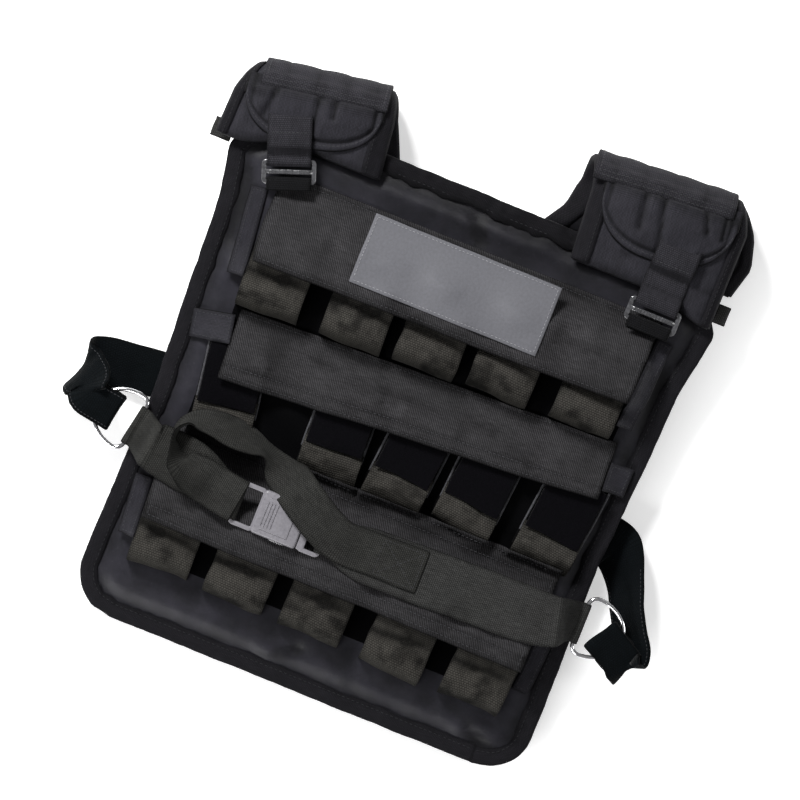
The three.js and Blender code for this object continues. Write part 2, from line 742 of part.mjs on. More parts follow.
// Strip laid over its supports along a line in plan, level across its width
function stripOver(plan, fullWidth, supports) {
  const middles = plan.map((row) => planPoint([row.x, row.y]));
  return plan.map((row, i) => {
    const before = middles[Math.max(0, i - 1)];
    const after = middles[Math.min(plan.length - 1, i + 1)];
    const along = new THREE.Vector2().subVectors(after, before).normalize();
    const across = new THREE.Vector3(-along.y, along.x, 0);
    const width = fullWidth * (row.width ?? 1);
    const reach = Math.max(before.distanceTo(middles[i]), after.distanceTo(middles[i]));
    let top = -Infinity;
    for (const side of [-0.5, -0.25, 0, 0.25, 0.5]) {
      for (const step of [-1, -0.75, -0.5, -0.25, 0, 0.25, 0.5, 0.75, 1]) {
        const x = middles[i].x + across.x * side * width + along.x * step * reach;
        const y = middles[i].y + across.y * side * width + along.y * step * reach;
        for (const support of supports) top = Math.max(top, support(x, y));
      }
    }
    const z = top + clearance + webbing / 2 + (row.lift ?? 0);
    return { point: new THREE.Vector3(middles[i].x, middles[i].y, z), across, width };
  });
}

// Height of a strip's upper face in plan
function stripTop(stations) {
  return (x, y) => {
    let top = -Infinity;
    stations.slice(1).forEach((to, i) => {
      const from = stations[i];
      const runX = to.point.x - from.point.x;
      const runY = to.point.y - from.point.y;
      const length = Math.hypot(runX, runY);
      const share = ((x - from.point.x) * runX + (y - from.point.y) * runY) / length ** 2;
      const side = Math.abs((x - from.point.x) * runY - (y - from.point.y) * runX) / length;
      if (share >= 0 && share <= 1 && side <= Math.max(from.width, to.width) / 2) {
        top = Math.max(top, from.point.z + webbing / 2, to.point.z + webbing / 2);
      }
    });
    return top;
  };
}

// Rings: a straight bar on the inner side and a bow on the outer side, lying flat beside the panel
const ringHeight = panelThickness + 2 * clearance + webbing + ringWire / 2;
const ringHalf = (ringLength - ringWire) / 2;
const ringReach = ringDepth - ringWire;

function ringGeometry() {
  const cornerSteps = evenShares(ringCornerSteps);
  const lowCorner = cornerSteps.map((share) => Math.PI * (1 + share / 2)).map((angle) => [
    ringCorner + ringCorner * Math.cos(angle), -ringHalf + ringCorner + ringCorner * Math.sin(angle)]);
  const bow = evenShares(ringBowSteps).slice(1, -1).map((share) => Math.PI * (share - 0.5)).map((angle) => [
    ringCorner + (ringReach - ringCorner) * Math.cos(angle), ringHalf * Math.sin(angle)]);
  const highCorner = [...lowCorner].reverse().map(([out, along]) => [out, -along]);
  const path = [...lowCorner, ...bow, ...highCorner].map(([out, along]) => new THREE.Vector3(out, along, 0));
  const rings = path.map((point, i) => {
    const before = path[(i + path.length - 1) % path.length];
    const after = path[(i + 1) % path.length];
    const along = new THREE.Vector3().subVectors(after, before).normalize();
    const outward = new THREE.Vector3(along.y, -along.x, 0);
    return evenShares(wireSides).slice(0, wireSides).map((share) => {
      const turn = share * 2 * Math.PI;
      return point.clone().addScaledVector(outward, (ringWire / 2) * Math.cos(turn))
        .add(new THREE.Vector3(0, 0, (ringWire / 2) * Math.sin(turn)));
    });
  });
  return loft(rings, true);
}

const rings = {};
for (const [key, plan] of Object.entries(ringPlan)) {
  const place = planPoint(plan.bar);
  const turn = THREE.MathUtils.degToRad(plan.turn) + (plan.side < 0 ? Math.PI : 0);
  const ring = addPiece(frontGroup, `ring_${key}`, ringGeometry(), 'steel');
  ring.position.set(place.x, place.y, ringHeight);
  ring.rotation.z = turn;
  const outward = new THREE.Vector3(Math.cos(turn), Math.sin(turn), 0);
  const across = new THREE.Vector3(-Math.sin(turn), Math.cos(turn), 0);
  rings[key] = { outward, across, bar: ring.position.clone() };
}

// Belt halves: each folds round its ring at the outer end and round a bar of the buckle inside
const upward = new THREE.Vector3(0, 0, 1);
const ringFold = foldRadiusRound(ringWire / 2, webbing);

function foldAtRing(ring) {
  const frame = { bar: ring.bar, near: ring.outward.clone().negate(), up: upward, across: ring.across };
  return foldRoundBar(frame, ringFold, ringLegs, ringWebbing);
}

const barReach = Math.hypot(buckleBar, buckleBarThickness) / 2;
const barFold = foldRadiusRound(barReach, webbing);
const bucklePoint = planPoint(bucklePlace);
const buckleLeft = bucklePoint.x - buckleLength / 2;
const buckleRight = bucklePoint.x + buckleLength / 2;
const frameLeft = buckleLeft - buckleSlot - buckleBar;
const latchLeft = buckleRight + clearance;
const latchRight = latchLeft + latchLength;
const latchMiddle = (latchLeft + latchRight) / 2;
const beltSupports = [panelTop, bindingTop, lowerFlap.topAt, ...bandTops];
const buckleFloor = highest(beltSupports, (frameLeft + latchRight) / 2, bucklePoint.y,
  (latchRight - frameLeft) / 2, buckleWidth / 2) + clearance;
const barHeight = buckleFloor + webbing + clearance + barReach;
const buckleAcross = new THREE.Vector3(0, 1, 0);

// Run over the supports, then raised at its last row to the level where it meets the buckle
function beltRun(plan, level) {
  const run = stripOver(plan, beltWidth, beltSupports);
  run[run.length - 1].point.z = level;
  return run;
}

const leftRun = beltRun(beltLeftPlan, barHeight - barFold);
const leftBar = { bar: new THREE.Vector3(frameLeft + buckleBar / 2, bucklePoint.y, barHeight),
  near: new THREE.Vector3(-1, 0, 0), up: upward.clone().negate(), across: buckleAcross };
const leftFold = foldRoundBar(leftBar, barFold, buckleLegs, slotWebbing);
const beltLeftStations = [...foldAtRing(rings.left).reverse(), ...leftRun, ...leftFold];
addPiece(frontGroup, 'belt_left', ribbon(beltLeftStations, webbing), 'webbing');

const rightRun = beltRun([...beltRightPlan].reverse(), barHeight + barFold);
const rightBar = { bar: new THREE.Vector3(latchRight - buckleBar / 2, bucklePoint.y, barHeight),
  near: new THREE.Vector3(1, 0, 0), up: upward, across: buckleAcross };
const rightFold = foldRoundBar(rightBar, barFold, buckleLegs, slotWebbing);
const beltRightStations = [...foldAtRing(rings.right).reverse(), ...rightRun, ...rightFold];
addPiece(frontGroup, 'belt_right', ribbon(beltRightStations, webbing), 'webbing');

// Buckle: a softened housing with a slotted frame at its left, and a latch plate with a slot
const { Manifold, Mesh } = solidKit;

function solidFrom(geometry) {
  const bare = geometry.clone();
  bare.deleteAttribute('normal');
  bare.deleteAttribute('uv');
  const merged = mergeVertices(bare);
  return new Manifold(new Mesh({ numProp: 3, vertProperties: merged.attributes.position.array,
    triVerts: new Uint32Array(merged.index.array) }));
}

function geometryFrom(solid) {
  const mesh = solid.getMesh();
  const geometry = new THREE.BufferGeometry();
  geometry.setAttribute('position', new THREE.Float32BufferAttribute(mesh.vertProperties, mesh.numProp));
  geometry.setIndex([...mesh.triVerts]);
  geometry.computeVertexNormals();
  return geometry;
}

// Block round a middle point with all its edges cut off by the same amount
function softBlock(size, soft, middle) {
  const half = size.clone().multiplyScalar(0.5);
  const ringAt = (inset, z) => {
    const x = half.x - inset;
    const y = half.y - inset;
    const corners = [[x, -y + soft], [x, y - soft], [x - soft, y], [-x + soft, y], [-x, y - soft],
      [-x, -y + soft], [-x + soft, -y], [x - soft, -y]];
    return corners.map(([cornerX, cornerY]) => new THREE.Vector3(cornerX, cornerY, z).add(middle));
  };
  return loft([ringAt(soft, -half.z), ringAt(0, soft - half.z), ringAt(0, half.z - soft), ringAt(soft, half.z)],
    false);
}

// Slot through a plate: a plain block, taller than the plate
function slotSolid(length, height, middle) {
  const cutter = new THREE.BoxGeometry(length, height, 2 * buckleThickness);
  cutter.translate(middle.x, middle.y, middle.z);
  return solidFrom(cutter);
}

const slotHeight = buckleWidth - 2 * buckleBar;
const housing = softBlock(new THREE.Vector3(buckleLength, buckleWidth, buckleThickness), buckleSoft,
  new THREE.Vector3(bucklePoint.x, bucklePoint.y, buckleFloor + buckleThickness / 2));
const frameRight = buckleLeft + 2 * buckleSoft;
const strapFrame = softBlock(new THREE.Vector3(frameRight - frameLeft, buckleWidth, buckleBarThickness),
  frameSoft, new THREE.Vector3((frameLeft + frameRight) / 2, bucklePoint.y, barHeight));
const frameSlot = slotSolid(buckleSlot, slotHeight,
  new THREE.Vector3(frameLeft + buckleBar + buckleSlot / 2, bucklePoint.y, barHeight));
const bodySolid = solidFrom(strapFrame).subtract(frameSlot).add(solidFrom(housing));
addPiece(frontGroup, 'buckle_body', geometryFrom(bodySolid), 'greyPlastic');

const latchSlot = latchLength - latchShoulder - buckleBar;
const latchPlate = softBlock(new THREE.Vector3(latchLength, buckleWidth, buckleBarThickness), frameSoft,
  new THREE.Vector3(latchMiddle, bucklePoint.y, barHeight));
const latchSolid = solidFrom(latchPlate).subtract(slotSolid(latchSlot, slotHeight,
  new THREE.Vector3(latchRight - buckleBar - latchSlot / 2, bucklePoint.y, barHeight)));
addPiece(frontGroup, 'buckle_latch', geometryFrom(latchSolid), 'greyPlastic');

// Loose end of the left belt: from the buckle outwards, folded back and sewn to the right half
const buckleLow = bucklePoint.y - buckleWidth / 2;
const buckleHigh = bucklePoint.y + buckleWidth / 2;

function rectangleTop(left, right, low, high, top) {
  return (x, y) => (x >= left && x <= right && y >= low && y <= high ? top : -Infinity);
}

const leftFoldTop = rectangleTop(frameLeft - buckleLegs.under, buckleLeft, buckleLow, buckleHigh,
  barHeight + barFold + webbing / 2);
const tailSupports = [...beltSupports, stripTop(leftRun), leftFoldTop];
const tailLow = stripOver(tailLowPlan, strapWidth, tailSupports);
const housingTop = rectangleTop(buckleLeft, buckleRight, buckleLow, buckleHigh, buckleFloor + buckleThickness);
const latchTop = rectangleTop(latchLeft, latchRight + barFold, buckleLow, buckleHigh,
  barHeight + barFold + webbing / 2);
const tailHigh = stripOver(tailHighPlan, strapWidth, [...tailSupports, housingTop, latchTop,
  stripTop(rightRun), stripTop(tailLow)]);
const foldLow = tailLow[tailLow.length - 1];
const foldHigh = tailHigh[0];
const foldRise = (foldHigh.point.z - foldLow.point.z) / 2;
const tailFold = evenShares(foldSteps).slice(1, -1).map((share) => {
  const angle = share * Math.PI;
  const point = foldLow.point.clone().lerp(foldHigh.point, share);
  point.z = foldLow.point.z + foldRise * (1 - Math.cos(angle));
  point.x -= foldRise * Math.sin(angle);
  return { point, across: foldHigh.across, width: strapWidth };
});
addPiece(frontGroup, 'tail_strap', ribbon([...tailLow, ...tailFold, ...tailHigh], webbing), 'webbing');

// Straps from the back panel to the rings: a root on the back panel, a loose bight, a hook
function inWorld(direction) {
  return direction.clone().transformDirection(frontGroup.matrix);
}

for (const [key, plan] of Object.entries(sideStrapPlan)) {
  const ring = rings[key];
  const apex = ring.bar.clone().addScaledVector(ring.outward, ringReach).addScaledVector(ring.across, plan.shift);
  const bar = frontPoint(apex.x, apex.y, apex.z);
  const frame = { bar, near: inWorld(ring.outward), up: inWorld(upward), across: inWorld(ring.across) };
  const rootHeight = backThickness + clearance + sideWebbing / 2;
  const run = plan.rows.map((row) => {
    const place = planPoint([row.x, row.y]);
    const heading = THREE.MathUtils.degToRad(row.across);
    const tip = THREE.MathUtils.degToRad(row.tip ?? 0);
    return {
      point: new THREE.Vector3(place.x, place.y, row.rise === undefined ? rootHeight : row.rise * bar.z),
      across: new THREE.Vector3(Math.cos(tip) * Math.cos(heading), Math.cos(tip) * Math.sin(heading),
        Math.sin(tip)),
      width: sideWidth * row.width,
    };
  });
  const hook = foldRoundBar(frame, foldRadiusRound(ringWire / 2, sideWebbing), hookLegs, hookWidth);
  addPiece(vest, `side_strap_${key}`, ribbon([...run, ...hook], sideWebbing), 'grip');
}

// Yoke over one shoulder: it leaves the back panel's top edge along the ground, turns up and over
// and lies on the front panel. Places on it are given by a stage from 0 at the back end over 1 on
// the ridge and 2 where it meets the front's slope to 3 at the front end, and by a distance across.
class Yoke {
  constructor(plan) {
    this.plan = plan;
    this.base = planPoint(plan.ridge);
    const turn = THREE.MathUtils.degToRad(plan.turn);
    this.across = new THREE.Vector2(Math.cos(turn), Math.sin(turn));
    this.along = new THREE.Vector2(-Math.sin(turn), Math.cos(turn));
    this.slope = Math.atan(Math.tan(frontTilt) * Math.cos(turn));
  }

  frontMiddle(offset) {
    const y = this.base.y + offset * this.across.y;
    return frontGroup.position.z + y * Math.tan(frontTilt)
      + (panelThickness + clearance + yokeThickness / 2) / Math.cos(frontTilt);
  }

  bendRadius(offset) {
    const floor = yokeThickness / 2 + yokeFloorGap;
    const rise = Math.tan(this.slope);
    const room = this.frontMiddle(offset) - (yokeThickness / 2) * rise - floor;
    return room / (1 + Math.cos(this.slope) + Math.sin(this.slope) * rise + rise);
  }

  alongAt(y, offset) {
    return (y - this.base.y - offset * this.across.y) / this.along.y;
  }

  // Length along the yoke's middle layer at a stage, counted from the ridge
  lengthAt(stage, offset) {
    const radius = this.bendRadius(offset);
    const centre = -yokeThickness / 2 - radius;
    const backBend = (-radius * Math.PI) / 2;
    const frontBend = radius * (Math.PI / 2 + this.slope);
    const bendEnd = centre - radius * Math.sin(this.slope);
    const knots = [
      { stage: 0, length: backBend + this.alongAt(yokeBackEnd, offset) - centre },
      { stage: backBendStage, length: backBend },
      { stage: 1, length: 0 },
      { stage: 2, length: frontBend },
      { stage: 3, length: frontBend + (bendEnd - this.alongAt(this.plan.frontEnd * panelHeight, offset))
        / Math.cos(this.slope) },
    ];
    return tableValue(knots, 'stage', 'length', stage);
  }

  edge(side, stage) {
    return tableValue(this.plan.edges, 'stage', side, stage) * panelWidth;
  }

  // Point at a length from the ridge, a distance across and a height over the outer face
  pointAt(length, offset, height) {
    const radius = this.bendRadius(offset);
    const floor = yokeThickness / 2 + yokeFloorGap;
    const heading = THREE.MathUtils.clamp(Math.PI / 2 + length / radius, 0, Math.PI + this.slope);
    const out = Math.sin(heading);
    const up = -Math.cos(heading);
    const beyondFront = Math.max(0, length - radius * (Math.PI / 2 + this.slope));
    const beyondBack = Math.min(0, length + (radius * Math.PI) / 2);
    const reach = radius + yokeThickness / 2 + height;
    const forward = -yokeThickness / 2 - radius + reach * out - beyondFront * Math.cos(this.slope) + beyondBack;
    const z = floor + radius + reach * up - beyondFront * Math.sin(this.slope);
    return new THREE.Vector3(this.base.x + offset * this.across.x + forward * this.along.x,
      this.base.y + offset * this.across.y + forward * this.along.y, z);
  }

  // Height of the front leg's outer face, raised by what lies on it, at a place in plan
  frontTop(x, y, height) {
    const offset = (x - this.base.x) * this.across.x + (y - this.base.y) * this.across.y;
    const forward = (x - this.base.x) * this.along.x + (y - this.base.y) * this.along.y;
    const slopeHeight = (yokeThickness / 2 + height) / Math.cos(this.slope);
    return this.frontMiddle(offset) + forward * Math.tan(this.slope) + slopeHeight;
  }
}

function yokeGeometry(yoke) {
  const { side } = yoke.plan;
  const stages = [0, 0.15, 0.4, 0.6, 0.8, 1, 1.25, 1.5, 1.75, 2, 2.35, 2.7, 2.88, 3];
  const widths = [0, 0.5, 1];
  const columns = widths.length * 2 + 1;
  const placeAt = (i, j) => {
    const stage = stages[j];
    const arm = yoke.edge('arm', stage);
    const neck = yoke.edge('neck', stage);
    const inner = i < widths.length ? -arm + widths[i] * yokeRoll : neck - widths[columns - 1 - i] * yokeRoll;
    const offset = (i === widths.length ? (neck - arm) / 2 : inner) * -side;
    const length = yoke.lengthAt(stage, offset);
    const ends = Math.min(length - yoke.lengthAt(0, offset), yoke.lengthAt(3, offset) - length);
    const inside = Math.min(ends * 2, i < widths.length ? widths[i] * yokeRoll
      : (widths[columns - 1 - i] ?? 1) * yokeRoll);
    const thick = mix(yokeEdge, yokeThickness, THREE.MathUtils.smoothstep(inside, 0, yokeRoll));
    return { length, offset, thick };
  };
  const pointAt = (face) => (i, j) => {
    const { length, offset, thick } = placeAt(i, j);
    return yoke.pointAt(length, offset, -yokeThickness / 2 + (face * thick) / 2);
  };
  return closedGrid(columns - 1, stages.length - 1, pointAt(1), pointAt(-1));
}

function flapDepth(reach, share) {
  const bow = (1 - Math.abs(share) ** flapRoundness) ** (1 / flapRoundness);
  return Math.max(shoulderFlapMin, reach * shoulderFlapWidth * bow);
}

// Round ended flap over the front of a yoke
function shoulderFlapGeometry(yoke) {
  const middle = (yoke.edge('arm', 2) - yoke.edge('neck', 2)) / 2 * yoke.plan.side;
  const shares = [-1, -0.93, -0.75, -0.4, 0, 0.4, 0.75, 0.93, 1];
  const rows = [0, 0.12, 0.5, 0.88, 1];
  const start = ridgeBandFront + clearance;
  const pointAt = (upper) => (i, j) => {
    const offset = middle + (shares[i] * shoulderFlapWidth) / 2;
    const depth = flapDepth(yoke.plan.flapReach, shares[i]);
    const onRim = i === 0 || i === shares.length - 1 || j === 0 || j === rows.length - 1;
    const thick = onRim ? shoulderFlapEdge : shoulderFlapThickness;
    return yoke.pointAt(start + rows[j] * depth, offset, clearance + upper * thick);
  };
  return closedGrid(shares.length - 1, rows.length - 1, pointAt(1), pointAt(0));
}

// Band of webbing across the ridge
function ridgeBandGeometry(yoke) {
  const columns = evenShares(4);
  const rows = evenShares(6);
  const pointAt = (upper) => (i, j) => yoke.pointAt(mix(ridgeBandBack, ridgeBandFront, rows[j]),
    mix(-yoke.edge('arm', 1), yoke.edge('neck', 1), columns[i]) * -yoke.plan.side * ridgeBandShare,
    clearance + upper * ridgeBandThickness);
  return closedGrid(columns.length - 1, rows.length - 1, pointAt(1), pointAt(0));
}

// Strap from the yoke down to its sliding bar buckle, and the strap that holds the buckle below
function glideGeometry() {
  const slab = softBlock(new THREE.Vector3(glideWidth, glideHeight, glideThickness), frameSoft,
    new THREE.Vector3());
  const offset = (glideSlot + glideBar) / 2;
  const slotAt = (y) => slotSolid(glideWidth - 2 * glideBar, glideSlot, new THREE.Vector3(0, y, 0));
  return geometryFrom(solidFrom(slab).subtract(slotAt(offset)).subtract(slotAt(-offset)));
}

const glideHeight = 3 * glideBar + 2 * glideSlot;
const glideReach = Math.hypot(glideBar, glideThickness) / 2;
const glideFold = foldRadiusRound(glideReach, webbing);

function addShoulder(key, plan) {
  const yoke = new Yoke(plan);
  addPiece(vest, `shoulder_pad_${key}`, yokeGeometry(yoke), 'yokeNylon');
  addPiece(vest, `shoulder_flap_${key}`, shoulderFlapGeometry(yoke), 'flapWeave');
  addPiece(vest, `ridge_band_${key}`, ridgeBandGeometry(yoke), 'webbing');

  const place = planPoint(plan.glide);
  const turn = THREE.MathUtils.degToRad(plan.glideTurn);
  const across = new THREE.Vector3(Math.cos(turn), Math.sin(turn), 0);
  const along = new THREE.Vector3(-Math.sin(turn), Math.cos(turn), 0);
  const barOffset = glideBar + glideSlot;
  let floor = -Infinity;
  for (const side of evenShares(10)) {
    for (const step of evenShares(10)) {
      const x = (side - 0.5) * glideWidth;
      const y = mix(-barOffset - glideLegs.under, barOffset + glideLegs.under, step);
      const point = new THREE.Vector2(place.x + across.x * x + along.x * y, place.y + across.y * x + along.y * y);
      for (const support of [panelTop, bindingTop, chestFlap.topAt, ...bandTops]) {
        floor = Math.max(floor, support(point.x, point.y));
      }
    }
  }
  const height = floor + 2 * clearance + webbing + glideReach;
  const glide = addPiece(frontGroup, `tri_glide_${key}`, glideGeometry(), 'blackPlastic');
  glide.position.set(place.x, place.y, height);
  glide.rotation.z = turn;

  const barAt = (way) => ({ bar: glide.position.clone().addScaledVector(along, way * barOffset),
    near: along.clone().multiplyScalar(way), up: upward, across });
  const anchor = foldRoundBar(barAt(-1), glideFold, glideLegs, strapWidth);
  addPiece(frontGroup, `anchor_strap_${key}`, ribbon(anchor, webbing), 'webbing');

  const toWorld = (station) => ({ point: frontPoint(station.point.x, station.point.y, station.point.z),
    across: inWorld(station.across), width: station.width });
  const fold = foldRoundBar(barAt(1), glideFold, glideLegs, strapWidth).map(toWorld);
  const topBar = frontPoint(place.x + along.x * barOffset, place.y + along.y * barOffset, height);
  const flapMiddle = (yoke.edge('arm', 2) - yoke.edge('neck', 2)) / 2 * plan.side;
  const topAt = (distance) => {
    let top = -Infinity;
    for (const side of [-0.5, 0, 0.5]) {
      const x = topBar.x + along.x * distance + across.x * side * strapWidth;
      const y = topBar.y + along.y * distance + across.y * side * strapWidth;
      const offset = (x - yoke.base.x) * yoke.across.x + (y - yoke.base.y) * yoke.across.y;
      const share = THREE.MathUtils.clamp((offset - flapMiddle) / (shoulderFlapWidth / 2), -1, 1);
      const flapEnd = yoke.pointAt(ridgeBandFront + flapDepth(plan.flapReach, share) + 2 * clearance, offset, 0);
      const onFlap = y > flapEnd.y - clearance;
      const onYoke = y > plan.frontEnd * panelHeight - 2 * clearance;
      if (onFlap) top = Math.max(top, yoke.frontTop(x, y, clearance + shoulderFlapThickness));
      else if (onYoke) top = Math.max(top, yoke.frontTop(x, y, 0));
    }
    return top;
  };
  const distances = plan.strapSteps.map((step) => step * strapWidth);
  const run = distances.map((distance, i) => {
    const low = distances[i + 1] ?? distance;
    const high = distances[i - 1] ?? distance;
    let top = -Infinity;
    for (const share of evenShares(8)) top = Math.max(top, topAt(mix(low, high, share)));
    const x = topBar.x + along.x * distance;
    const y = topBar.y + along.y * distance;
    return { point: new THREE.Vector3(x, y, top + clearance + webbing / 2), across: inWorld(across),
      width: strapWidth };
  });
  addPiece(vest, `shoulder_strap_${key}`, ribbon([...run, ...fold], webbing), 'webbing');

  // Small tab beside the front panel's arm edge
  const tabMiddle = plan.tab * panelHeight;
  const edgeX = Math.max(...[-0.5, 0, 0.5].map((step) => frontOutline.halfWidth(tabMiddle + step * armTabWidth)));
  const inner = edgeX + bindingReach + clearance;
  const tabLength = plan.tabLength * panelWidth;
  const tab = softBlock(new THREE.Vector3(tabLength, armTabWidth, armTabThickness), frameSoft,
    new THREE.Vector3());
  const piece = addPiece(frontGroup, `arm_tab_${key}`, tab, 'webbing');
  piece.position.set(plan.side * (inner + tabLength / 2), tabMiddle, panelThickness / 2);
}

for (const [key, plan] of Object.entries(yokePlan)) addShoulder(key, plan);

// Origin at the middle of the underside of everything
vest.updateMatrixWorld(true);
const extent = new THREE.Box3().setFromObject(vest, true);
const middle = extent.getCenter(new THREE.Vector3());
for (const part of vest.children) part.position.add(new THREE.Vector3(-middle.x, -middle.y, -extent.min.z));
vest.updateMatrixWorld(true);

export default vest;
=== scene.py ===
"""Weighted vest lying front up: cloth, webbing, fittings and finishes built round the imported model."""

import logging
import math
from dataclasses import dataclass, field
from enum import Enum
from typing import Callable, Iterable, Optional, Sequence

import bpy
import numpy as np
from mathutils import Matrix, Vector


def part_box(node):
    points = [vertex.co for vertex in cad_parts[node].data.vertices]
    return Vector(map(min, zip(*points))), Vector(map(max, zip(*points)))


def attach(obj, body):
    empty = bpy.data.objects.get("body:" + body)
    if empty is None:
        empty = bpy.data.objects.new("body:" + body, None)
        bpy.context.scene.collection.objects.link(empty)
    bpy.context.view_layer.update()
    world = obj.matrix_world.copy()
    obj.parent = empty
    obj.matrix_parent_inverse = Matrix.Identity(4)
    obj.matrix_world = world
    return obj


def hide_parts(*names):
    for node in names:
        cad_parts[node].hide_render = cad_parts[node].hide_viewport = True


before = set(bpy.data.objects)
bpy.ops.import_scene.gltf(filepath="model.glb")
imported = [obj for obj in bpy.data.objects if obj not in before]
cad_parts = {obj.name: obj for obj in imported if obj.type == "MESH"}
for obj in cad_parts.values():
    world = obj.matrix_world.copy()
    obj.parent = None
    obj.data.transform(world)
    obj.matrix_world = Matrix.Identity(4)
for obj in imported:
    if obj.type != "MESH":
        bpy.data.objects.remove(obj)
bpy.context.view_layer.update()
log = logging.getLogger("vest")
Array = np.ndarray
MM = 0.001


def linear(red: float, green: float, blue: float) -> tuple[float, float, float, float]:
    """Turns a screen colour into a shader colour.

    Args:
        red, green, blue: Screen values from 0 to 255.

    Returns:
        The same colour in linear light with full alpha.
    """
    def one(value: float) -> float:
        """Linear value of one channel."""
        share = value / 255
        return share / 12.92 if share <= 0.04045 else ((share + 0.055) / 1.055) ** 2.4

    return one(red), one(green), one(blue), 1.0


def smooth(low: float, high: float, value: Array) -> Array:
    """Smooth step from 0 at low to 1 at high."""
    share = np.clip((value - low) / (high - low), 0, 1)
    return share * share * (3 - 2 * share)


def bump(centre: float, width: float, value: Array) -> Array:
    """Rounded bump of height 1 that falls to nothing at width from its centre."""
    return smooth(0, 1, 1 - np.abs(value - centre) / width)


class Grain:
    """Repeatable soft noise over a plane."""

    def __init__(self, seed: int) -> None:
        """Fills a table of random heights from a fixed seed."""
        self.table = np.random.default_rng(seed).uniform(-1, 1, (256, 256))

    def at(self, x: Array, y: Array, size: float) -> Array:
        """Noise between -1 and 1.

        Args:
            x, y: Places in millimetres.
            size: Distance between neighbouring hills.

        Returns:
            One value for each place.
        """
        u, v = np.asarray(x) / size + 97.3, np.asarray(y) / size + 41.7
        column, row = np.floor(u).astype(int), np.floor(v).astype(int)
        across, along = u - column, v - row
        across, along = across * across * (3 - 2 * across), along * along * (3 - 2 * along)
        pick = lambda i, j: self.table[(column + i) % 256, (row + j) % 256]
        low = pick(0, 0) * (1 - across) + pick(1, 0) * across
        high = pick(0, 1) * (1 - across) + pick(1, 1) * across
        return low * (1 - along) + high * along

    def layered(self, x: Array, y: Array, size: float, layers: int = 3) -> Array:
        """Noise with finer layers added, each half as high as the one before."""
        total, height = np.zeros(np.broadcast(x, y).shape), 1.0
        for layer in range(layers):
            total = total + height * self.at(x, y + 311.0 * layer, size / 2 ** layer)
            height *= 0.5
        return total / 1.75


@dataclass(frozen=True)
class Layout:
    """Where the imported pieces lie. Millimetres; the front plane rises from hem to shoulders."""

    shift_x: float
    shift_y: float
    tilt_deg: float = 3.5
    back_thickness: float = 12.0
    panel_thickness: float = 10.0
    gap: float = 0.4
    touch_line: float = 28.0
    width: float = 426.0
    height: float = 468.0

    @property
    def lift(self) -> float:
        """Height of the front plane over the ground at the hem line."""
        return self.back_thickness + self.gap - self.touch_line * math.tan(math.radians(self.tilt_deg))

    def from_front(self, points: Array) -> Array:
        """Places on the front plane, in millimetres, as places in the row frame in metres."""
        turn = math.radians(self.tilt_deg)
        x, y, z = points[..., 0], points[..., 1], points[..., 2]
        lifted = np.stack([x, y * math.cos(turn) - z * math.sin(turn),
                           y * math.sin(turn) + z * math.cos(turn) + self.lift], axis=-1)
        return self.from_ground(lifted)

    def from_ground(self, points: Array) -> Array:
        """Places over the ground, in millimetres, as places in the row frame in metres."""
        return (points + np.array([self.shift_x, self.shift_y, 0.0])) * MM

    def front_of_row(self, points: Array) -> Array:
        """Places in the row frame in metres as places on the front plane in millimetres."""
        turn = math.radians(self.tilt_deg)
        ground = points / MM - np.array([self.shift_x, self.shift_y, 0.0])
        x, y, z = ground[..., 0], ground[..., 1], ground[..., 2] - self.lift
        return np.stack([x, y * math.cos(turn) + z * math.sin(turn),
                         -y * math.sin(turn) + z * math.cos(turn)], axis=-1)


def read_layout() -> Layout:
    """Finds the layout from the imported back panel, which is centred and set in from the hem."""
    low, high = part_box("back_panel")
    return Layout(shift_x=(low.x + high.x) / 2 / MM, shift_y=low.y / MM - 3.0)


LAYOUT = read_layout()


# Finishes

class Weave(Enum):
    """Kinds of surface that a finish can have."""

    PLAIN = "plain"
    RIBBED = "ribbed"
    TWILL = "twill"
    LOOPED = "looped"
    SATIN = "satin"
    MOULDED = "moulded"
    PLATED = "plated"


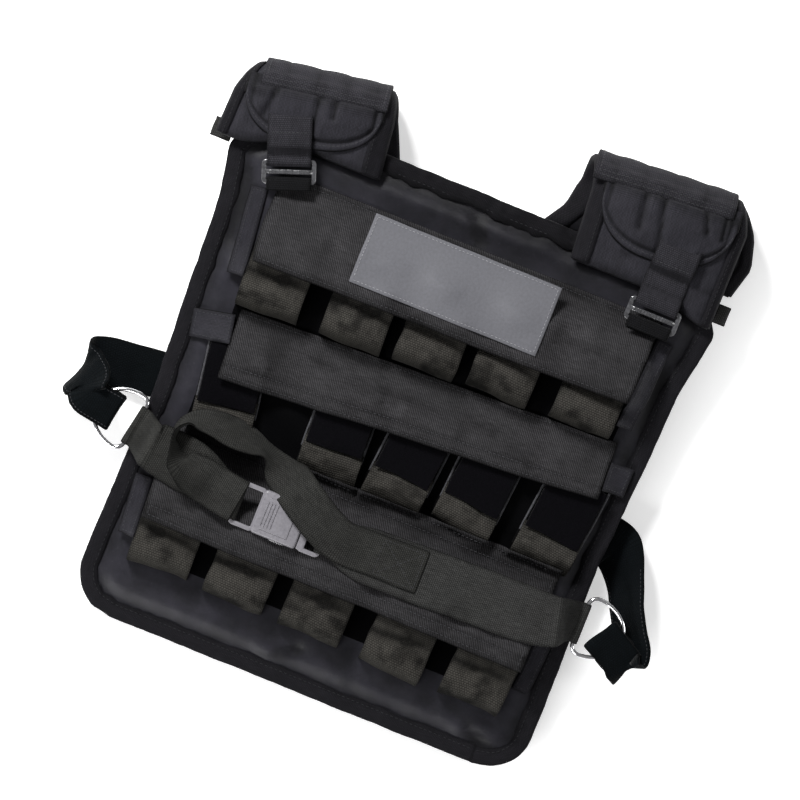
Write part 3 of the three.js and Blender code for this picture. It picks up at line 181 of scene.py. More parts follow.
class Graph:
    """Small helper that adds nodes to a material and joins them."""

    def __init__(self, name: str) -> None:
        """Starts an empty material with its shader and output."""
        self.material = bpy.data.materials.new(name)
        self.material.use_nodes = True
        self.tree = self.material.node_tree
        self.tree.nodes.clear()
        self.output = self.tree.nodes.new("ShaderNodeOutputMaterial")
        self.shader = self.tree.nodes.new("ShaderNodeBsdfPrincipled")
        self.join(self.shader.outputs["BSDF"], self.output.inputs["Surface"])

    def join(self, source, target) -> None:
        """Links one socket to another."""
        self.tree.links.new(source, target)

    def feed(self, socket, value) -> None:
        """Sets a socket to a number or links it to another socket."""
        if isinstance(value, (int, float)):
            socket.default_value = value
        elif isinstance(value, tuple):
            socket.default_value = value
        else:
            self.join(value, socket)

    def math(self, operation: str, first, second=0.0, third=0.0):
        """Adds a math node.

        Args:
            operation: Blender's name of the operation.
            first, second, third: Numbers or sockets.

        Returns:
            The output socket.
        """
        node = self.tree.nodes.new("ShaderNodeMath")
        node.operation = operation
        for socket, value in zip(node.inputs, (first, second, third)):
            self.feed(socket, value)
        return node.outputs[0]

    def thread_place(self):
        """Sockets for the place on the cloth, its parts along and across in millimetres, and its painted shade."""
        place = self.tree.nodes.new("ShaderNodeAttribute")
        place.attribute_name = "thread"
        parts = self.tree.nodes.new("ShaderNodeSeparateXYZ")
        self.join(place.outputs["Vector"], parts.inputs[0])
        return place.outputs["Vector"], parts.outputs[0], parts.outputs[1], parts.outputs[2]

    def noise(self, vector, scale: float, detail: float = 3.0, rough: float = 0.55):
        """Adds soft noise over a vector and returns its value socket."""
        node = self.tree.nodes.new("ShaderNodeTexNoise")
        self.join(vector, node.inputs["Vector"])
        node.inputs["Scale"].default_value = scale
        node.inputs["Detail"].default_value = detail
        node.inputs["Roughness"].default_value = rough
        return node.outputs["Fac"]

    def stretched(self, vector, along: float, across: float):
        """Scales a vector by different numbers along and across the cloth and returns its socket."""
        node = self.tree.nodes.new("ShaderNodeMapping")
        node.inputs["Scale"].default_value = (along, across, along)
        self.join(vector, node.inputs["Vector"])
        return node.outputs["Vector"]

    def remap(self, value, low: float, high: float, to_low: float, to_high: float):
        """Maps a range of values to another and clamps it."""
        node = self.tree.nodes.new("ShaderNodeMapRange")
        for socket, item in zip(node.inputs, (value, low, high, to_low, to_high)):
            self.feed(socket, item)
        return node.outputs[0]

    def mix_colour(self, share, first, second):
        """Mixes two colours, which are tuples or sockets, by a share."""
        node = self.tree.nodes.new("ShaderNodeMix")
        node.data_type = "RGBA"
        self.feed(node.inputs["Factor"], share)
        self.feed(node.inputs["A"], first)
        self.feed(node.inputs["B"], second)
        return node.outputs["Result"]

    def relief(self, height, depth_mm: float, before=None):
        """Adds a bump of a given depth and returns its normal socket."""
        node = self.tree.nodes.new("ShaderNodeBump")
        node.inputs["Strength"].default_value = 1.0
        node.inputs["Distance"].default_value = depth_mm * MM
        self.join(height, node.inputs["Height"])
        if before is not None:
            self.join(before, node.inputs["Normal"])
        return node.outputs["Normal"]


@dataclass(frozen=True)
class Finish:
    """One finish of the vest, with the sizes of its weave in millimetres."""

    name: str
    slot: str
    weave: Weave
    dark: tuple[float, float, float]
    light: tuple[float, float, float]
    roughness: float
    pitch: float = 2.0
    depth: float = 0.3
    sheen: float = 0.0
    metallic: float = 0.0
    specular: float = 0.5
    mottle: float = 0.35
    coat: float = 0.0

    def woven_height(self, graph: Graph, along, across):
        """Builds the height pattern of the weave and returns its socket."""
        pi = math.pi
        if self.weave is Weave.RIBBED:
            rows = graph.math("ABSOLUTE", graph.math("SINE", graph.math("MULTIPLY", along, pi / self.pitch)))
            step = graph.math("FLOOR", graph.math("MULTIPLY", along, 1 / self.pitch))
            offset = graph.math("MULTIPLY", graph.math("MODULO", step, 2.0), self.pitch * 0.6)
            cords = graph.math("ABSOLUTE", graph.math("SINE", graph.math(
                "MULTIPLY", graph.math("ADD", across, offset), pi / (self.pitch * 1.2))))
            return graph.math("MULTIPLY_ADD", cords, 0.6, graph.math("MULTIPLY", rows, 0.55))
        if self.weave is Weave.TWILL:
            slant = graph.math("ADD", along, graph.math("MULTIPLY", across, 0.62))
            lines = graph.math("ABSOLUTE", graph.math("SINE", graph.math("MULTIPLY", slant, pi / self.pitch)))
            fine = graph.math("ABSOLUTE", graph.math("SINE", graph.math("MULTIPLY", across, 2.3 * pi / self.pitch)))
            return graph.math("MULTIPLY_ADD", fine, 0.35, graph.math("MULTIPLY", lines, 0.75))
        first = graph.math("SINE", graph.math("MULTIPLY", along, pi / self.pitch))
        second = graph.math("SINE", graph.math("MULTIPLY", across, pi / self.pitch))
        over = graph.math("GREATER_THAN", graph.math("MULTIPLY", first, second), 0.0)
        warp = graph.math("ABSOLUTE", first)
        weft = graph.math("ABSOLUTE", second)
        difference = graph.math("SUBTRACT", warp, weft)
        return graph.math("MULTIPLY_ADD", difference, over, weft)

    def material(self) -> bpy.types.Material:
        """Builds the node material of this finish.

        Returns:
            A material whose colour, roughness and relief come from its nodes.
        """
        graph = Graph(self.name)
        shader = graph.shader
        shader.inputs["Metallic"].default_value = self.metallic
        shader.inputs["Specular IOR Level"].default_value = self.specular
        if self.sheen:
            shader.inputs["Sheen Weight"].default_value = self.sheen
            shader.inputs["Sheen Roughness"].default_value = 0.4
        if self.coat:
            shader.inputs["Coat Weight"].default_value = self.coat
            shader.inputs["Coat Roughness"].default_value = 0.2
        vector, along, across, shade = graph.thread_place()
        dark, light = linear(*self.dark), linear(*self.light)
        cloudy = graph.noise(vector, 0.035, 4.0, 0.6)
        worn = graph.noise(vector, 0.4, 3.0, 0.6)
        if self.weave in (Weave.MOULDED, Weave.PLATED):
            fine = graph.noise(vector, 2.2 if self.weave is Weave.MOULDED else 0.25, 3.0)
            tone = graph.remap(worn, 0.3, 0.7, 0.0, 1.0)
            graph.join(graph.mix_colour(tone, dark, light), shader.inputs["Base Color"])
            spread = 0.1 if self.weave is Weave.MOULDED else 0.05
            graph.join(graph.remap(worn, 0.3, 0.7, self.roughness - spread / 2, self.roughness + spread),
                       shader.inputs["Roughness"])
            graph.join(graph.relief(fine, self.depth), shader.inputs["Normal"])
            return graph.material
        if self.weave is Weave.LOOPED:
            fuzz = graph.noise(vector, 1.1, 5.0, 0.75)
            height = fuzz
            tone = graph.remap(fuzz, 0.35, 0.7, 0.0, 1.0)
        elif self.weave is Weave.SATIN:
            base = self.woven_height(graph, along, across)
            height = base
            tone = graph.remap(cloudy, 0.25, 0.75, 0.0, 1.0)
        else:
            height = self.woven_height(graph, along, across)
            streaks = graph.noise(graph.stretched(vector, 0.09, 0.7), 1.0, 5.0, 0.7)
            faded = graph.math("MULTIPLY", graph.remap(cloudy, 0.25, 0.75, 1 - self.mottle, 1.0),
                               graph.remap(streaks, 0.3, 0.68, 0.5, 1.15))
            tone = graph.math("MULTIPLY", height, faded)
        colour = graph.mix_colour(tone, dark, light)
        speck = graph.remap(worn, 0.62, 0.8, 0.0, 0.25)
        colour = graph.mix_colour(speck, colour, linear(*(min(255, c * 1.5 + 8) for c in self.light)))
        # Painted shade: the thread's third number darkens the colour towards a deep copy of the dark colour, a little
        # less where the wear noise is high.
        low = graph.math("MULTIPLY", graph.remap(shade, 0.0, 1.0, 0.0, 0.92), graph.remap(worn, 0.2, 0.7, 1.0, 0.75))
        graph.join(graph.mix_colour(low, colour, linear(*(c * 0.3 for c in self.dark))), shader.inputs["Base Color"])
        graph.join(graph.remap(worn, 0.3, 0.7, self.roughness - 0.05, min(1.0, self.roughness + 0.07)),
                   shader.inputs["Roughness"])
        soft = graph.relief(graph.noise(vector, 0.12, 4.0), self.depth * 1.5)
        graph.join(graph.relief(height, self.depth, soft), shader.inputs["Normal"])
        return graph.material


class Wardrobe:
    """All finishes of the vest, each made once."""

    PANEL = Finish("panel_nylon", "nylon", Weave.SATIN, (19, 19, 23), (41, 40, 47), 0.42, 0.9, 0.03, 0.02,
                   specular=0.2, mottle=0.2)
    # Near-black copy of the panel nylon, put on the panel faces under the pouches and flaps as painted shadow.
    PANEL_SHADOW = Finish("panel_painted_shadow", "nylon", Weave.PLAIN, (2, 2, 3), (7, 7, 8), 0.85, 1.2, 0.1, 0.02, specular=0.03)
    YOKE = Finish("yoke_nylon", "yoke_nylon", Weave.PLAIN, (7, 7, 9), (56, 55, 62), 0.6, 1.2, 0.16, 0.02,
                  specular=0.1, mottle=0.4)
    FLAP = Finish("flap_weave", "flap_weave", Weave.TWILL, (6, 6, 6), (66, 65, 67), 0.75, 2.2, 0.4, 0.015,
                  specular=0.05, mottle=0.4)
    POUCH = Finish("pouch_weave", "pouch_weave", Weave.RIBBED, (5, 5, 5), (66, 64, 60), 0.72, 1.9, 0.4, 0.015,
                   specular=0.06, mottle=0.4)
    WEBBING = Finish("belt_webbing", "webbing", Weave.RIBBED, (6, 6, 6), (62, 62, 61), 0.7, 1.7, 0.4, 0.015,
                     specular=0.06, mottle=0.3)
    TAIL = Finish("tail_webbing", "webbing", Weave.RIBBED, (4, 4, 4), (56, 56, 54), 0.7, 1.7, 0.42, 0.015,
                  specular=0.06, mottle=0.4)
    BAND = Finish("band_webbing", "webbing", Weave.RIBBED, (5, 5, 6), (54, 53, 58), 0.7, 1.7, 0.36, 0.015,
                  specular=0.06, mottle=0.35)
    ANCHOR = Finish("anchor_webbing", "webbing", Weave.RIBBED, (4, 4, 4), (22, 22, 24), 0.75, 1.8, 0.34, 0.04,
                    specular=0.05)
    TAPE = Finish("edge_tape", "binding", Weave.RIBBED, (3, 3, 4), (31, 30, 34), 0.7, 1.4, 0.25, 0.015,
                  specular=0.07)
    GRIP = Finish("loop_tape", "grip", Weave.LOOPED, (2, 2, 3), (13, 12, 16), 0.95, depth=0.9, sheen=0.05,
                  specular=0.03)
    SIDE = Finish("side_webbing", "grip", Weave.RIBBED, (1, 2, 2), (10, 14, 17), 0.8, 2.0, 0.3, 0.04,
                  specular=0.04)
    LINING = Finish("pouch_lining", "nylon", Weave.PLAIN, (2, 2, 3), (8, 8, 9), 0.8, 1.2, 0.12, 0.02,
                    specular=0.04)
    LABEL = Finish("bare_label", "label", Weave.MOULDED, (86, 86, 90), (94, 94, 99), 0.6, depth=0.008,
                   specular=0.2)
    BORDER = Finish("label_thread", "label", Weave.MOULDED, (120, 120, 124), (150, 150, 154), 0.5, depth=0.03)
    THREAD = Finish("thread", "webbing", Weave.MOULDED, (40, 40, 42), (60, 60, 63), 0.6, depth=0.05, sheen=0.05,
                    specular=0.15)
    EDGE_THREAD = Finish("edge_thread", "binding", Weave.MOULDED, (24, 24, 26), (38, 38, 41), 0.6, depth=0.05,
                         specular=0.15)
    PIPING = Finish("pouch_piping", "pouch_weave", Weave.MOULDED, (44, 44, 46), (72, 72, 76), 0.6, depth=0.08,
                    sheen=0.05, specular=0.15)
    GREY = Finish("grey_plastic", "grey_plastic", Weave.MOULDED, (110, 108, 113), (122, 120, 125), 0.32, depth=0.03,
                  specular=0.5)
    # Painted highlight: this colour is a mid grey, far lighter than black plastic, standing in for the reflections on
    # the glossy bars.
    BLACK = Finish("black_plastic", "black_plastic", Weave.MOULDED, (48, 48, 50), (72, 72, 75), 0.16, depth=0.02,
                   specular=1.0)
    STEEL = Finish("plated_steel", "steel", Weave.PLATED, (206, 206, 210), (238, 238, 240), 0.1, depth=0.01,
                   metallic=1.0)

    def __init__(self) -> None:
        """Starts with no material made."""
        self.made: dict[str, bpy.types.Material] = {}

    def get(self, finish: Finish) -> bpy.types.Material:
        """The material of a finish, made the first time it is asked for."""
        if finish.name not in self.made:
            self.made[finish.name] = finish.material()
        return self.made[finish.name]


# Meshes

@dataclass
class Cloth:
    """Growing mesh of one piece: vertices in the row frame, faces, thread places and finishes."""

    finishes: list[Finish]
    points: list[Array] = field(default_factory=list)
    threads: list[Array] = field(default_factory=list)
    faces: list[tuple[int, ...]] = field(default_factory=list)
    face_finish: list[int] = field(default_factory=list)
    count: int = 0

    def add(self, points: Array, threads: Array, faces: Iterable[Sequence[int]], finish: int = 0) -> int:
        """Adds vertices and faces.

        Args:
            points: Places in the row frame in metres, one row each.
            threads: Places along and across the cloth in millimetres, one row each.
            faces: Rows of vertex numbers that start at 0 for this call.
            finish: Which of the piece's finishes the faces have.

        Returns:
            Number of the first vertex added.
        """
        start = self.count
        self.points.append(np.asarray(points, float).reshape(-1, 3))
        self.threads.append(np.asarray(threads, float).reshape(-1, 3))
        for face in faces:
            self.faces.append(tuple(start + int(i) for i in face))
            self.face_finish.append(finish)
        self.count += len(self.points[-1])
        return start

    def shell(self, upper: Array, lower: Array, thread: Array, finish: int = 0, round_edge: float = 0.35,
              side_finish: Optional[int] = None) -> None:
        """Adds a closed body between an upper and a lower grid of places.

        Args:
            upper, lower: Grids of places, rows by columns by 3, in metres.
            thread: Grid of thread places in millimetres, with painted shade as an optional third number.
            finish: Finish of the faces.
            round_edge: How far the rim bulges, as a share of the thickness.
            side_finish: Finish of the rim, if it differs.
        """
        rows, columns = upper.shape[:2]
        middle = (upper + lower) / 2
        rim = []
        for j in range(columns):
            rim.append((0, j))
        for i in range(1, rows):
            rim.append((i, columns - 1))
        for j in range(columns - 2, -1, -1):
            rim.append((rows - 1, j))
        for i in range(rows - 2, 0, -1):
            rim.append((i, 0))
        inward = []
        for i, j in rim:
            inner_i, inner_j = min(max(i, 1), rows - 2), min(max(j, 1), columns - 2)
            step = middle[i, j] - middle[inner_i, inner_j]
            length = np.linalg.norm(step)
            inward.append(step / length if length > 1e-9 else step)
        edge = [middle[i, j] + direction * round_edge * np.linalg.norm(upper[i, j] - lower[i, j])
                for (i, j), direction in zip(rim, inward)]
        flat_thread = thread if thread.shape[-1] == 3 else np.concatenate([thread, np.zeros((rows, columns, 1))], -1)
        # Rim faces get full painted shade, a dark shaded outline round every piece.
        rim_thread = [flat_thread[i, j] + np.array([0, 0, 1.0]) for i, j in rim]
        points = np.concatenate([upper.reshape(-1, 3), lower.reshape(-1, 3), np.array(edge)])
        threads = np.concatenate([flat_thread.reshape(-1, 3), flat_thread.reshape(-1, 3), np.array(rim_thread)])
        number = lambda i, j: i * columns + j
        below = rows * columns
        faces, sides = [], []
        for i in range(rows - 1):
            for j in range(columns - 1):
                a, b, c, d = number(i, j), number(i, j + 1), number(i + 1, j + 1), number(i + 1, j)
                faces.append((a, b, c, d))
                faces.append((below + a, below + d, below + c, below + b))
        for k, (i, j) in enumerate(rim):
            following = (k + 1) % len(rim)
            here, there = number(i, j), number(*rim[following])
            mid, mid_next = 2 * below + k, 2 * below + following
            sides.append((there, here, mid, mid_next))
            sides.append((mid_next, mid, below + here, below + there))
        start = self.add(points, threads, faces, finish)
        for face in sides:
            self.faces.append(tuple(start + i for i in face))
            self.face_finish.append(finish if side_finish is None else side_finish)

    def tube(self, rings: Array, threads: Array, finish: int = 0, closed: bool = False) -> None:
        """Adds a skin through rings of places, capped at both ends unless it closes on itself."""
        rows, columns = rings.shape[:2]
        faces = []
        for i in range(rows if closed else rows - 1):
            for j in range(columns):
                k, following = (j + 1) % columns, (i + 1) % rows
                faces.append((i * columns + j, i * columns + k, following * columns + k, following * columns + j))
        if not closed:
            faces.append(tuple(reversed(range(columns))))
            faces.append(tuple(range((rows - 1) * columns, rows * columns)))
        self.add(rings, threads, faces, finish)

    def build(self, name: str, wardrobe: Wardrobe, replaces: Sequence[str] = (), slot: Optional[str] = None,
              turn_out: bool = True) -> bpy.types.Object:
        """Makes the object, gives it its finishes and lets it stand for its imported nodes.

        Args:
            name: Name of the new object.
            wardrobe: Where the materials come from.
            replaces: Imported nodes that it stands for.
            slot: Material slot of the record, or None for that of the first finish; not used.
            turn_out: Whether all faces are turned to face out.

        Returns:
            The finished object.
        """
        mesh = bpy.data.meshes.new(name)
        places = np.concatenate(self.points)
        mesh.from_pydata(places.tolist(), [], self.faces)
        mesh.update()
        thread = mesh.attributes.new("thread", "FLOAT_VECTOR", "POINT")
        thread.data.foreach_set("vector", np.concatenate(self.threads).astype(np.float32).ravel())
        for finish in self.finishes:
            mesh.materials.append(wardrobe.get(finish))
        mesh.polygons.foreach_set("material_index", self.face_finish)
        mesh.polygons.foreach_set("use_smooth", [True] * len(mesh.polygons))
        piece = bpy.data.objects.new(name, mesh)
        bpy.context.scene.collection.objects.link(piece)
        if turn_out:
            face_outward(mesh)
        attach(piece, "root")
        if replaces:
            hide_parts(*replaces)
        log.info("%s: %d faces, from %.1f to %.1f mm high", name, len(mesh.polygons), places[:, 2].min() / MM,
                 places[:, 2].max() / MM)
        return piece


def face_outward(mesh: bpy.types.Mesh) -> None:
    """Turns the faces of each closed body in a mesh so that they all face out."""
    import bmesh

    body = bmesh.new()
    body.from_mesh(mesh)
    bmesh.ops.recalc_face_normals(body, faces=body.faces)
    body.to_mesh(mesh)
    body.free()
    mesh.update()


def grid_normals(grid: Array) -> Array:
    """Unit normals of a grid of places, pointing to the side that its rows and columns turn round."""
    along = np.gradient(grid, axis=0)
    across = np.gradient(grid, axis=1)
    normal = np.cross(along, across)
    return normal / np.maximum(np.linalg.norm(normal, axis=-1, keepdims=True), 1e-12)


def resample(values: Array, count: int) -> Array:
    """Smooth curve through rows of values, sampled evenly by length.

    Args:
        values: Rows whose first three columns are a place.
        count: Number of rows to return.

    Returns:
        Evenly spaced rows on a curve that passes near every given row.
    """
    rows = [values[0], *values, values[-1]]
    fine = []
    for i in range(1, len(rows) - 2):
        a, b, c, d = rows[i - 1], rows[i], rows[i + 1], rows[i + 2]
        for t in np.linspace(0, 1, 12, endpoint=False):
            fine.append(0.5 * (2 * b + (c - a) * t + (2 * a - 5 * b + 4 * c - d) * t ** 2
                               + (3 * b - a - 3 * c + d) * t ** 3))
    fine.append(rows[-2])
    path = np.array(fine)
    steps = np.linalg.norm(np.diff(path[:, :3], axis=0), axis=1)
    length = np.concatenate([[0], np.cumsum(steps)])
    at = np.linspace(0, length[-1], count)
    return np.stack([np.interp(at, length, path[:, k]) for k in range(path.shape[1])], axis=1)


class Relief:
    """Height of everything laid on the front so far, on a fine raster in the front plane."""

    STEP = 1.25
    LOW = (-260.0, -15.0)
    HIGH = (260.0, 500.0)

    def __init__(self) -> None:
        """Starts with nothing on the front."""
        columns = int((self.HIGH[0] - self.LOW[0]) / self.STEP) + 1
        rows = int((self.HIGH[1] - self.LOW[1]) / self.STEP) + 1
        self.top = np.full((columns, rows), -20.0)

    def cover(self, grid: Array) -> None:
        """Raises the raster to a grid of places in the front plane."""
        fine = grid
        for axis in (0, 1):
            spacing = np.linalg.norm(np.diff(fine[..., :2], axis=axis), axis=-1).max()
            splits = max(1, int(math.ceil(spacing / (self.STEP * 0.8))))
            if splits > 1:
                count = (fine.shape[axis] - 1) * splits + 1
                at = np.linspace(0, fine.shape[axis] - 1, count)
                low = np.clip(np.floor(at).astype(int), 0, fine.shape[axis] - 2)
                share = at - low
                shape = [1, 1, 1]
                shape[axis] = count
                share = share.reshape(shape)
                fine = np.take(fine, low, axis) * (1 - share) + np.take(fine, low + 1, axis) * share
        column = np.round((fine[..., 0] - self.LOW[0]) / self.STEP).astype(int)
        row = np.round((fine[..., 1] - self.LOW[1]) / self.STEP).astype(int)
        inside = (column >= 0) & (row >= 0) & (column < self.top.shape[0]) & (row < self.top.shape[1])
        np.maximum.at(self.top, (column[inside], row[inside]), fine[..., 2][inside])

    def at(self, x: Array, y: Array) -> Array:
        """Height at places in the front plane, taken from the highest of the four nearest cells."""
        column = (np.asarray(x) - self.LOW[0]) / self.STEP
        row = (np.asarray(y) - self.LOW[1]) / self.STEP
        i = np.clip(np.floor(column).astype(int), 0, self.top.shape[0] - 2)
        j = np.clip(np.floor(row).astype(int), 0, self.top.shape[1] - 2)
        return np.maximum.reduce([self.top[i, j], self.top[i + 1, j], self.top[i, j + 1], self.top[i + 1, j + 1]])


def stretch_over(floor: Array, loose: Array, rounds: int = 400, along: float = 1.0, across: float = 1.0,
                 slack: float = 0.0, settled: bool = False) -> Array:
    """Pulls a sheet taut over a floor, held down where it is sewn.

    Args:
        floor: Grid of the lowest heights that the sheet may have.
        loose: Grid that is 0 where the sheet is sewn to the floor and 1 where it is free.
        rounds: Number of relaxation steps.
        along, across: Pull along the rows and along the columns.
        slack: How far the free sheet sinks between its supports at each step.
        settled: Whether the sheet starts down on the floor rather than over its highest place.

    Returns:
        Grid of heights.
    """
    height = floor.copy() if settled else np.where(loose > 0.5, floor.max(), floor)
    total = 2 * along + 2 * across
    for _ in range(rounds):
        padded = np.pad(height, 1, mode="edge")
        mean = (along * (padded[:-2, 1:-1] + padded[2:, 1:-1])
                + across * (padded[1:-1, :-2] + padded[1:-1, 2:])) / total
        height = np.maximum(floor, mean - slack)
        height = np.where(loose > 0.5, height, floor)
    return height


@dataclass(frozen=True)
class Quad:
    """Four cornered patch in the front plane, corners in millimetres."""

    low_left: tuple[float, float]
    low_right: tuple[float, float]
    high_left: tuple[float, float]
    high_right: tuple[float, float]

    @staticmethod
    def along(low: tuple[float, float], high: tuple[float, float], width: float) -> "Quad":
        """Patch of even width round a line."""
        run = np.subtract(high, low)
        side = np.array([run[1], -run[0]]) / np.linalg.norm(run) * width / 2
        pick = lambda point, sign: tuple(np.add(point, sign * side))
        return Quad(pick(low, -1), pick(low, 1), pick(high, -1), pick(high, 1))

    def places(self, a: Array, b: Array) -> tuple[Array, Array]:
        """Places at shares a from left to right and b from low to high."""
        corners = [np.array(c) for c in (self.low_left, self.low_right, self.high_left, self.high_right)]
        weights = [(1 - a) * (1 - b), a * (1 - b), (1 - a) * b, a * b]
        x = sum(weight * corner[0] for weight, corner in zip(weights, corners))
        y = sum(weight * corner[1] for weight, corner in zip(weights, corners))
        return x, y

    def grid(self, step: float) -> tuple[Array, Array, Array, Array]:
        """Grids of shares and places about a step apart: a, b, x and y."""
        width = math.dist(self.low_left, self.low_right)
        height = math.dist(self.low_left, self.high_left)
        a, b = np.meshgrid(np.linspace(0, 1, max(3, int(width / step) + 1)),
                           np.linspace(0, 1, max(3, int(height / step) + 1)), indexing="ij")
        x, y = self.places(a, b)
        return a, b, x, y


STITCH_RING = np.array([[math.cos(t), math.sin(t)] for t in np.linspace(0, 2 * math.pi, 5, endpoint=False)])


def add_stitches(cloth: Cloth, path: Array, normals: Array, finish: int, length: float = 2.8, gap: float = 1.3,
                 radius: float = 0.4) -> None:
    """Adds a row of raised stitches.

    Args:
        cloth: Piece that gets the stitches.
        path: Places along the row, in the row frame in metres.
        normals: Unit normal of the cloth at each place.
        finish: Number of the thread's finish in the piece.
        length, gap, radius: Sizes of a stitch in millimetres.
    """
    steps = np.linalg.norm(np.diff(path, axis=0), axis=1) / MM
    run = np.concatenate([[0], np.cumsum(steps)])
    starts = np.arange(gap / 2, run[-1] - length, length + gap)
    pick = lambda at, rows: np.array([np.interp(at, run, rows[:, k]) for k in range(3)])
    for start in starts:
        ends = [pick(start, path), pick(start + length, path)]
        normal = pick(start + length / 2, normals)
        normal = normal / max(np.linalg.norm(normal), 1e-9)
        along = ends[1] - ends[0]
        along = along / max(np.linalg.norm(along), 1e-9)
        side = np.cross(along, normal)
        rings = []
        for share, grow in ((0.0, 0.25), (0.22, 0.95), (0.78, 0.95), (1.0, 0.25)):
            centre = ends[0] + (ends[1] - ends[0]) * share + normal * radius * MM * (0.45 if 0.1 < share < 0.9 else 0)
            rings.append(centre + radius * MM * grow * (STITCH_RING[:, :1] * side + STITCH_RING[:, 1:] * normal))
        rings = np.array(rings)
        threads = np.zeros((4, 5, 3))
        threads[..., 0] = start
        cloth.tube(rings, threads, finish)


def add_cord(cloth: Cloth, path: Array, radius: float, finish: int) -> None:
    """Adds a thin cord along a path.

    Args:
        cloth: Piece that gets the cord.
        path: Places along the cord, in the row frame in metres.
        radius: Radius in millimetres.
        finish: Number of the cord's finish in the piece.
    """
    run = np.gradient(path, axis=0)
    run /= np.linalg.norm(run, axis=1, keepdims=True)
    side = np.cross(run, np.array([0.0, 0.0, 1.0]))
    side /= np.linalg.norm(side, axis=1, keepdims=True)
    up = np.cross(side, run)
    angles = np.linspace(0, 2 * math.pi, 8, endpoint=False)
    rings = np.stack([path + radius * MM * (math.cos(t) * side + math.sin(t) * up) for t in angles], 1)
    threads = np.zeros(rings.shape)
    threads[..., 0] = np.linspace(0, 60, len(path))[:, None]
    threads[..., 1] = angles * radius
    cloth.tube(rings, threads, finish)


def stitch_on_grid(cloth: Cloth, upper: Array, route: Sequence[tuple[float, float]], finish: int,
                   **sizes: float) -> None:
    """Adds stitches on a grid of places along a route of shares of its rows and columns."""
    normals = grid_normals(upper)
    rows, columns = upper.shape[:2]
    path, facing = [], []
    for (a0, b0), (a1, b1) in zip(route[:-1], route[1:]):
        for share in np.linspace(0, 1, 60, endpoint=False):
            i, j = (a0 + (a1 - a0) * share) * (rows - 1), (b0 + (b1 - b0) * share) * (columns - 1)
            i0, j0 = min(int(i), rows - 2), min(int(j), columns - 2)
            fi, fj = i - i0, j - j0
            blend = lambda g: (g[i0, j0] * (1 - fi) * (1 - fj) + g[i0 + 1, j0] * fi * (1 - fj)
                               + g[i0, j0 + 1] * (1 - fi) * fj + g[i0 + 1, j0 + 1] * fi * fj)
            path.append(blend(upper))
            facing.append(blend(normals))
    add_stitches(cloth, np.array(path), np.array(facing), finish, **sizes)


# Panels

SIDES = ((0.0, 1.0), (0.135, 1.0), (0.43, 0.985), (0.63, 1.01), (0.8, 1.025), (0.915, 1.07), (0.962, 1.0),
         (1.0, 0.86))


@dataclass
class PanelShape:
    """Outline of a panel in its own plane, in millimetres."""

    width: float
    height: float
    inset: float = 0.0
    corner: float = 40.0

    def half_width(self, y: Array) -> Array:
        """Half width at a height over the hem."""
        up = np.asarray(y, float) - self.inset
        side = np.interp(up / self.height, [s[0] for s in SIDES], [s[1] for s in SIDES]) * self.width / 2
        near = np.clip(self.corner - up, 0, self.corner)
        return side - self.corner + np.sqrt(np.maximum(self.corner ** 2 - near ** 2, 0))

    def rim(self, count: int = 90) -> Array:
        """Places round the outline, anticlockwise from the hem's right end."""
        shares = np.unique(np.concatenate([np.linspace(0, 0.09, 12), np.linspace(0.09, 1, count)]))
        y = self.inset + shares * self.height
        half = self.half_width(y)
        hem_x = np.linspace(-half[0], half[0], 40)[1:-1]
        top_x = np.linspace(half[-1], -half[-1], 40)[1:-1]
        right = np.stack([half, y], 1)
        left = np.stack([-half, y], 1)[::-1]
        top = np.stack([top_x, np.full_like(top_x, self.inset + self.height)], 1)
        hem = np.stack([hem_x, np.full_like(hem_x, self.inset)], 1)
        return np.concatenate([right, top, left, hem])

    def edge_distance(self, x: Array, y: Array) -> Array:
        """Distance from places inside to the outline."""
        rim = self.rim()
        following = np.roll(rim, -1, axis=0)
        nearest = np.full(np.shape(x), np.inf)
        for start, end in zip(rim, following):
            run = end - start
            share = np.clip(((x - start[0]) * run[0] + (y - start[1]) * run[1]) / max(run @ run, 1e-9), 0, 1)
            nearest = np.minimum(nearest, np.hypot(x - start[0] - share * run[0], y - start[1] - share * run[1]))
        return nearest


@dataclass
class Crease:
    """Soft fold in a panel: a line with a width and a height, in millimetres."""

    start: tuple[float, float]
    end: tuple[float, float]
    width: float
    height: float

    def lift(self, x: Array, y: Array) -> Array:
        """Height that the crease adds at places."""
        start, run = np.array(self.start), np.subtract(self.end, self.start)
        share = ((x - start[0]) * run[0] + (y - start[1]) * run[1]) / (run @ run)
        inside = np.clip(share, 0, 1)
        away = np.hypot(x - start[0] - inside * run[0], y - start[1] - inside * run[1])
        return self.height * np.exp(-(away / self.width) ** 2)


